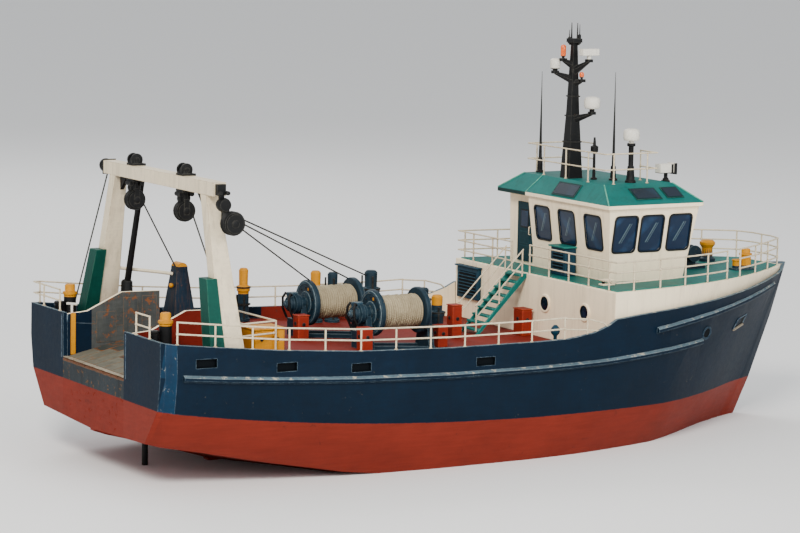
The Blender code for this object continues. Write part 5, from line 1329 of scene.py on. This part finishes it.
@dataclass
class DeckGearLooks:
    """Net drums, stands, boxes, posts and bitts on the main deck."""

    drums: tuple[tuple[str, Body, Point], ...] = (("inner", Body.DRUM_INNER, (-4.00, 0.60, 4.32)),
                                                  ("outer", Body.DRUM_OUTER, (-3.27, -2.00, 4.32)))
    flange_reach: float = 0.838
    motor_reach: float = 1.01
    rope_turns: int = 19
    rope_sides: int = 48
    rope_bore: float = 0.27
    rope_profile: tuple[tuple[float, float], ...] = ((0.04, 0.036), (0.16, 0.012), (0.34, 0.002), (0.5, 0.0),
                                                     (0.66, 0.002), (0.84, 0.012), (0.96, 0.036))
    boxes: tuple[str, ...] = ("control_box_inner", "control_box_outer", "pump_box", "hose_box", "valve_box")
    posts: tuple[tuple[str, float], ...] = (("net_guide_post", 0.78), ("fairlead_post_aft", 0.52),
                                            ("fairlead_post_fore", 0.0), ("cable_reel", 0.0),
                                            ("hydraulic_unit", 0.30), ("deck_ventilator", 0.0))
    bitts: tuple[tuple[str, Finish, float], ...] = (("stern", BLACK, 4.53), ("bow", MACHINE, 5.02))
    hatch_rail: tuple[tuple[float, float], ...] = ((-8.05, -1.26), (-7.98, -3.44), (-9.30, -3.70))
    hatch_rail_z: float = 4.50

    def build(self) -> None:
        """Dresses all deck gear."""
        for label, body, centre in self.drums:
            dress(f"net_drum_{label}", (MACHINE,), body)
            dress(f"drum_stand_{label}", (MACHINE,))
            self.rope_pack(label, body)
            self.flange_details(label, body, Vector(centre))
            self.motor_details(label, Vector(centre))
        for node in self.boxes:
            self.red_box(node)
        for node, yellow in self.posts:
            self.post(node, yellow)
        for side in Side:
            for label, finish, split in self.bitts:
                dress(f"{label}_bitts_{side.label}", (finish, YELLOW), bevel=0.006,
                      choose=by_height(split, YELLOW, finish), cuts=[cut(UP, split)])
        split = corners_of("fairlead_tower")[1].z - 0.12
        dress("fairlead_tower", (RUSTY_NAVY, YELLOW), bevel=0.016, cuts=[cut(UP, split)],
              choose=by_height(split, YELLOW, RUSTY_NAVY))
        Shape().turned(((0.0, 0.05), (0.03, 0.07), (0.08, 0.07), (0.11, 0.04)), (-8.10, 2.90, 4.72),
                       (-0.8, -0.20, 0.08), 12).place("tower_pin", YELLOW)
        self.hatch()

    def rope_pack(self, label: str, body: Body) -> None:
        """Winds the rope pack: a row of rounded turns with a slightly uneven top."""
        low, high = corners_of(f"net_rope_{label}")
        centre, outer = (low + high) / 2, (high.z - low.z) / 2
        step = (high.x - low.x) / self.rope_turns
        rings = []
        for turn in range(self.rope_turns):
            for part, depth in self.rope_profile:
                ring = []
                for angle in turns(self.rope_sides):
                    wobble = 0.005 * math.sin(3 * angle + turn * 1.7) + 0.004 * math.sin(7 * angle + turn * 2.9)
                    lean = 0.010 * math.sin(angle + turn * 0.9) + 0.006 * math.sin(4 * angle + turn * 1.3)
                    x = min(max(low.x + step * (turn + part) + lean, low.x), high.x)
                    radius = outer - 0.010 - depth + wobble
                    ring.append((x, centre.y + radius * math.cos(angle), centre.z + radius * math.sin(angle)))
                rings.append(ring)
        for x in (high.x, low.x):
            rings.append([(x, centre.y + self.rope_bore * math.cos(angle), centre.z + self.rope_bore * math.sin(angle))
                          for angle in turns(self.rope_sides)])
        Shape().loft(rings, closed=True).place(f"net_rope_{label}_wound", ROPE, body,
                                               replaces=[f"net_rope_{label}"], smooth=60.0)

    def flange_details(self, label: str, body: Body, centre: Vector) -> None:
        """Adds rim ridges, a stepped hub and bolts on the outer faces of the drum's flanges."""
        rims, bolts = Shape(), Shape()
        for out in (-1, 1):
            spot = centre + FORE * (out * self.flange_reach)
            rims.turned(((-0.004, 0.555), (0.016, 0.565), (0.024, 0.60), (0.016, 0.635), (-0.004, 0.645)),
                        spot, FORE * out, 48, closed=True)
            rims.turned(((-0.004, 0.18), (0.02, 0.18), (0.03, 0.24), (0.02, 0.33), (-0.004, 0.345)),
                        spot, FORE * out, 40, closed=True)
            for turn in turns(10, 0.5):
                bolts.turned(((-0.004, 0.026), (0.02, 0.026), (0.024, 0.016)),
                             spot + Vector((0.0, math.cos(turn), math.sin(turn))) * 0.45, FORE * out, 6)
        rims.place(f"flange_ridges_{label}", MACHINE_WORN, body, smooth=40.0)
        bolts.place(f"flange_bolts_{label}", BLACK, body)
        spot = centre + Vector((-self.flange_reach - 0.004, -0.16, 0.42))
        Shape().box(spot - Vector((0.012, 0.035, 0.045)), spot + Vector((0.002, 0.035, 0.045))) \
            .place(f"flange_lug_{label}", YELLOW, body, bevel=0.004)

    def motor_details(self, label: str, centre: Vector) -> None:
        """Adds the gear case, valve, hoses and bolts round the motor at the drum's aft end."""
        hub = centre - FORE * self.motor_reach
        shape = Shape()
        for turn in turns(8):
            shape.turned(((0.0, 0.026), (0.03, 0.026), (0.035, 0.015)),
                         hub + Vector((-0.14, 0.25 * math.cos(turn), 0.25 * math.sin(turn))), -FORE, 6)
        shape.turned(((0.0, 0.13), (0.05, 0.12), (0.07, 0.07), (0.10, 0.06)), hub - FORE * 0.46, -FORE, 16)
        shape.box(hub + Vector((-0.42, -0.10, 0.20)), hub + Vector((-0.14, 0.10, 0.34)))
        shape.place(f"motor_fittings_{label}", MACHINE_WORN, bevel=0.006)
        hoses = Shape()
        for shift in (-0.11, 0.11):
            start = hub + Vector((-0.36, shift, 0.26))
            hoses.tube([start + Vector((x, shift * share, z)) for x, share, z in (
                (0.0, 0.0, 0.0), (-0.07, 0.4, 0.04), (-0.14, 0.7, -0.08), (-0.12, 1.0, -0.40), (0.02, 1.0, -0.70))],
                0.036)
        hoses.place(f"motor_pipes_{label}", BLACK, smooth=60.0)

    @staticmethod
    def red_box(node: str) -> None:
        """Dresses a red box and adds its lid and two round covers."""
        dress(node, (SIGNAL_RED,), bevel=0.016)
        low, high = corners_of(node)
        middle = (low + high) / 2
        Shape().box((low.x - 0.015, low.y - 0.015, high.z + 0.001), high + Vector((0.015, 0.015, 0.035))) \
            .place(f"{node}_lid", SIGNAL_RED, bevel=0.012)
        fittings = Shape()
        for face, out in (((low.x, middle.y, middle.z + 0.12), -FORE),
                          ((middle.x, low.y, middle.z + 0.10), -PORTWARD)):
            fittings.turned(((-0.002, 0.055), (0.02, 0.055), (0.026, 0.03)), face, out, 14)
        fittings.place(f"{node}_knobs", BLACK)

    @staticmethod
    def post(node: str, yellow: float) -> None:
        """Dresses a round post, yellow over some length at its top, and adds collars and dark side plates."""
        low, high = corners_of(node)
        split = high.z - yellow
        dress(node, (MACHINE, YELLOW), bevel=0.006, cuts=[cut(UP, split)] if yellow else (),
              choose=by_height(split - 0.001, YELLOW, MACHINE) if yellow else None)
        centre, radius = (low + high) / 2, (high.x - low.x) / 2
        shape = Shape()
        for share in (0.30, 0.62):
            shape.turned(((0.0, radius * 0.80), (0.01, radius + 0.012), (0.05, radius + 0.012), (0.06, radius * 0.80)),
                         (centre.x, centre.y, low.z + (high.z - low.z) * share), UP, 20)
        for turn in (0.5, 2.6, 4.4):
            side = centre + Vector((math.cos(turn), math.sin(turn), 0.0)) * radius * 0.92
            shape.rod((side.x, side.y, low.z + 0.10), (side.x, side.y, high.z - max(yellow, 0.12) - 0.04), 0.03, 8)
        shape.place(f"{node}_fittings", BLACK)

    def hatch(self) -> None:
        """Dresses the yellow fish hatch and sets a cream rail round it."""
        dress("fish_hatch", (YELLOW,), bevel=0.014)
        low, high = corners_of("fish_hatch")
        Shape().box((low.x - 0.03, low.y - 0.03, high.z + 0.001), high + Vector((0.03, 0.03, 0.05))) \
            .place("fish_hatch_lid", YELLOW, bevel=0.014)
        marks, rail = Shape(), Shape()
        for x in (low.x + 0.22, high.x - 0.22):
            marks.turned(((-0.002, 0.05), (0.012, 0.05), (0.016, 0.03)), (x, low.y, low.z + 0.36), -PORTWARD, 12)
        marks.place("fish_hatch_clips", BLACK)
        for drop in (0.0, 0.34):
            rail.tube([(x, y, self.hatch_rail_z - drop) for x, y in self.hatch_rail], 0.026)
        for x, y in self.hatch_rail:
            rail.rod((x, y, LINE.deck(x) + 0.004), (x, y, self.hatch_rail_z), 0.028, 10)
        rail.place("fish_hatch_rail", RAIL_CREAM)


@dataclass
class StairLooks:
    """Steep green stairs with cream handrails."""

    centre_y: float = 0.78
    half_width: float = 0.43
    treads: int = 9
    foot_x: float = 1.05
    head: tuple[float, float] = (2.7497, 4.85)
    depth: float = 0.12
    rail_height: float = 0.80

    def build(self) -> None:
        """Makes the strings, the treads and the handrails."""
        x_foot, z_foot = self.foot_x, corners_of("stairs")[0].z
        x_top, z_top = self.head
        outline = ((x_foot - self.depth, z_foot), (x_foot, z_foot), (x_top, z_top - self.depth), (x_top, z_top),
                   (x_top - self.depth, z_top))
        steps, rails = Shape(), Shape()
        for side in Side:
            edge = self.centre_y + side.value * self.half_width
            steps.loft([[(x, y, z) for x, z in outline] for y in (edge - 0.028, edge + 0.028)])
            y = edge + side.value * 0.06
            foot, head = Vector((x_foot - 0.16, y, z_foot + 0.10)), Vector((x_top - 0.16, y, z_top - 0.04))
            for lift, radius in ((self.rail_height, 0.022), (0.42, 0.018)):
                rails.tube((foot + UP * lift, head + UP * lift), radius)
            for share in (0.02, 0.5, 0.98):
                base = foot.lerp(head, share)
                rails.rod(base, base + UP * self.rail_height, 0.023, 10)
                rails.rod(base, base - PORTWARD * (side.value * 0.05), 0.02, 8)
        reach = self.half_width + 0.015
        for i in range(self.treads):
            share = (i + 0.7) / self.treads
            x, z = x_foot - 0.08 + (x_top - x_foot) * share, z_foot + (z_top - z_foot) * share
            steps.box((x - 0.13, self.centre_y - reach, z - 0.03), (x + 0.10, self.centre_y + reach, z + 0.03))
        steps.place("stair_steps", ROOF_GREEN, replaces=["stairs"], bevel=0.006)
        rails.place("stair_handrails", RAIL_CREAM)


@dataclass
class MastLooks:
    """Mast, radomes, scanner, searchlight, lamps and whip aerials."""

    mast: tuple[float, float, float] = (4.16, 0.12, 12.05)
    slope: tuple[float, float] = (0.55, -0.835)
    roof_z: float = 7.7803
    light_face: float = 0.20
    light_foot: float = 0.24
    radome_foot: float = 0.06
    dome_foot: float = 1.20
    aerials: tuple[tuple[float, float, float], ...] = ((4.20, 1.95, 10.95), (4.92, -1.05, 11.10))
    lamps: tuple[tuple[float, float, float, float, Finish], ...] = (
        (-0.36, 11.45, 0.085, 0.40, AMBER_LAMP), (0.27, 10.83, 0.075, 0.20, AMBER_LAMP),
        (-0.62, 11.06, 0.16, 0.36, WHITE))

    def tip(self, reach: float, z: float) -> Vector:
        """Returns a point over a bracket of the mast."""
        return Vector((self.mast[0] + reach * self.slope[0], self.mast[1] + reach * self.slope[1], z))

    def build(self) -> None:
        """Dresses the mast and adds lamps, aerials and small brackets."""
        dress("mast", (BLACK,), bevel=0.014)
        dress("radome_low", (WHITE, BLACK), smooth=40.0,
              choose=by_height(corners_of("radome_low")[0].z + self.radome_foot, WHITE, BLACK))
        dress("radar_scanner", (WHITE,), Body.SCANNER, smooth=40.0)
        dress("satellite_dome", (WHITE, BLACK), bevel=0.008, smooth=40.0,
              choose=by_height(corners_of("satellite_dome")[0].z + self.dome_foot, WHITE, BLACK))
        self.searchlight()
        for index, (x, y, tip) in enumerate(self.aerials):
            tall = tip - self.roof_z
            Shape().turned(((0.0, 0.13), (0.05, 0.13), (0.08, 0.09), (0.42, 0.08), (0.46, 0.055), (0.90, 0.042),
                            (tall - 0.9, 0.018), (tall, 0.006)), (x, y, self.roof_z), UP, 12) \
                .place(f"whip_aerial_{index}", BLACK)
        self.lamp_details()
        self.mast_top()

    def searchlight(self) -> None:
        """Dresses the searchlight, with a black face and pivot, and adds its lens."""
        low, high = corners_of("searchlight")

        def choose(centre: Vector, normal: Vector) -> Finish:
            """Picks white for the housing and black for its face and its pivot."""
            side = normal.y < -0.6 and centre.x > high.x - self.light_face
            face = normal.x > 0.8 and centre.x > high.x - 0.06
            return BLACK if centre.z < low.z + self.light_foot or side or face else WHITE

        dress("searchlight_foot", (BLACK,), bevel=0.006)
        dress("searchlight", (WHITE, BLACK), Body.SEARCHLIGHT, choose=choose,
              cuts=[cut(FORE, high.x - self.light_face), cut(UP, low.z + self.light_foot)])
        y = (low.y + high.y) / 2
        Shape().box((high.x - 0.004, y - 0.15, high.z - 0.36), (high.x - 0.001, y + 0.15, high.z - 0.07)) \
            .place("searchlight_lens", PORT_GLASS, Body.SEARCHLIGHT)

    def lamp_details(self) -> None:
        """Makes the amber lamps and the small white dome on the mast's brackets."""
        for index, (reach, z, radius, height, finish) in enumerate(self.lamps):
            base = self.tip(reach, z)
            Shape().turned(((0.0, radius * 0.45), (0.05, radius * 0.55), (0.06, radius * 0.9), (0.075, radius * 0.9)),
                           base, UP, 16).place(f"mast_lamp_foot_{index}", BLACK)
            Shape().turned(((0.076, radius * 0.92), (0.10, radius), (height - 0.04, radius), (height, radius * 0.78),
                            (height + 0.02, radius * 0.35)), base, UP, 20).place(f"mast_lamp_{index}", finish)

    def mast_top(self) -> None:
        """Makes the forked head of the mast with its two small aerials, its bands and the roof's post."""
        x, y, top = self.mast
        shape = Shape()
        left, right = self.tip(-0.17, top - 0.14), self.tip(0.17, top - 0.14)
        shape.tube((left, right), 0.045, 8)
        for spot, rise in ((left, 0.42), (right, 0.60)):
            shape.turned(((0.0, 0.05), (rise * 0.45, 0.045), (rise * 0.5, 0.018), (rise, 0.008)), spot, UP, 8)
        for z, half in ((8.9, 0.22), (9.7, 0.185), (10.3, 0.16)):
            shape.box((x - half, y - half, z - 0.02), (x + half, y + half, z + 0.02))
        shape.turned(((0.0, 0.10), (0.05, 0.10), (0.08, 0.05), (0.80, 0.04), (0.86, 0.12), (1.02, 0.12), (1.06, 0.05),
                      (1.30, 0.03)), (4.50, -0.62, self.roof_z), UP, 12)
        shape.place("mast_fittings", BLACK, bevel=0.004)


@dataclass
class SmallGear:
    """Capstan, windlass, propeller and rudder."""

    capstan_split: float = 5.20
    rudder_shade_split: float = -0.25

    def build(self) -> None:
        """Dresses the pieces."""
        dress("capstan", (YELLOW, MACHINE), Body.CAPSTAN, bevel=0.006,
              choose=by_height(self.capstan_split, YELLOW, MACHINE))
        dress("windlass", (MACHINE,))
        dress("propeller", (BRONZE,), Body.PROPELLER, bevel=0.003)
        # Above this height the rudder and its stock are black: painted shade under the counter. Below it is the
        # bottom's red.
        dress("rudder", (BOTTOM, BLACK), Body.RUDDER, cuts=[cut(UP, self.rudder_shade_split)],
              choose=by_height(self.rudder_shade_split, BLACK, BOTTOM))


def main() -> None:
    """Builds every sub-assembly in order."""
    logging.basicConfig(level=logging.INFO, format="%(name)s: %(message)s")
    for assembly in (Studio(), GantryLooks(), HullLooks(), RampLooks(), HouseLooks(), *railings(), StairLooks(),
                     DeckGearLooks(), MastLooks(), SmallGear()):
        LOG.info("building %s", type(assembly).__name__)
        assembly.build()
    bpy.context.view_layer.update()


if __name__ == "__main__":
    main()
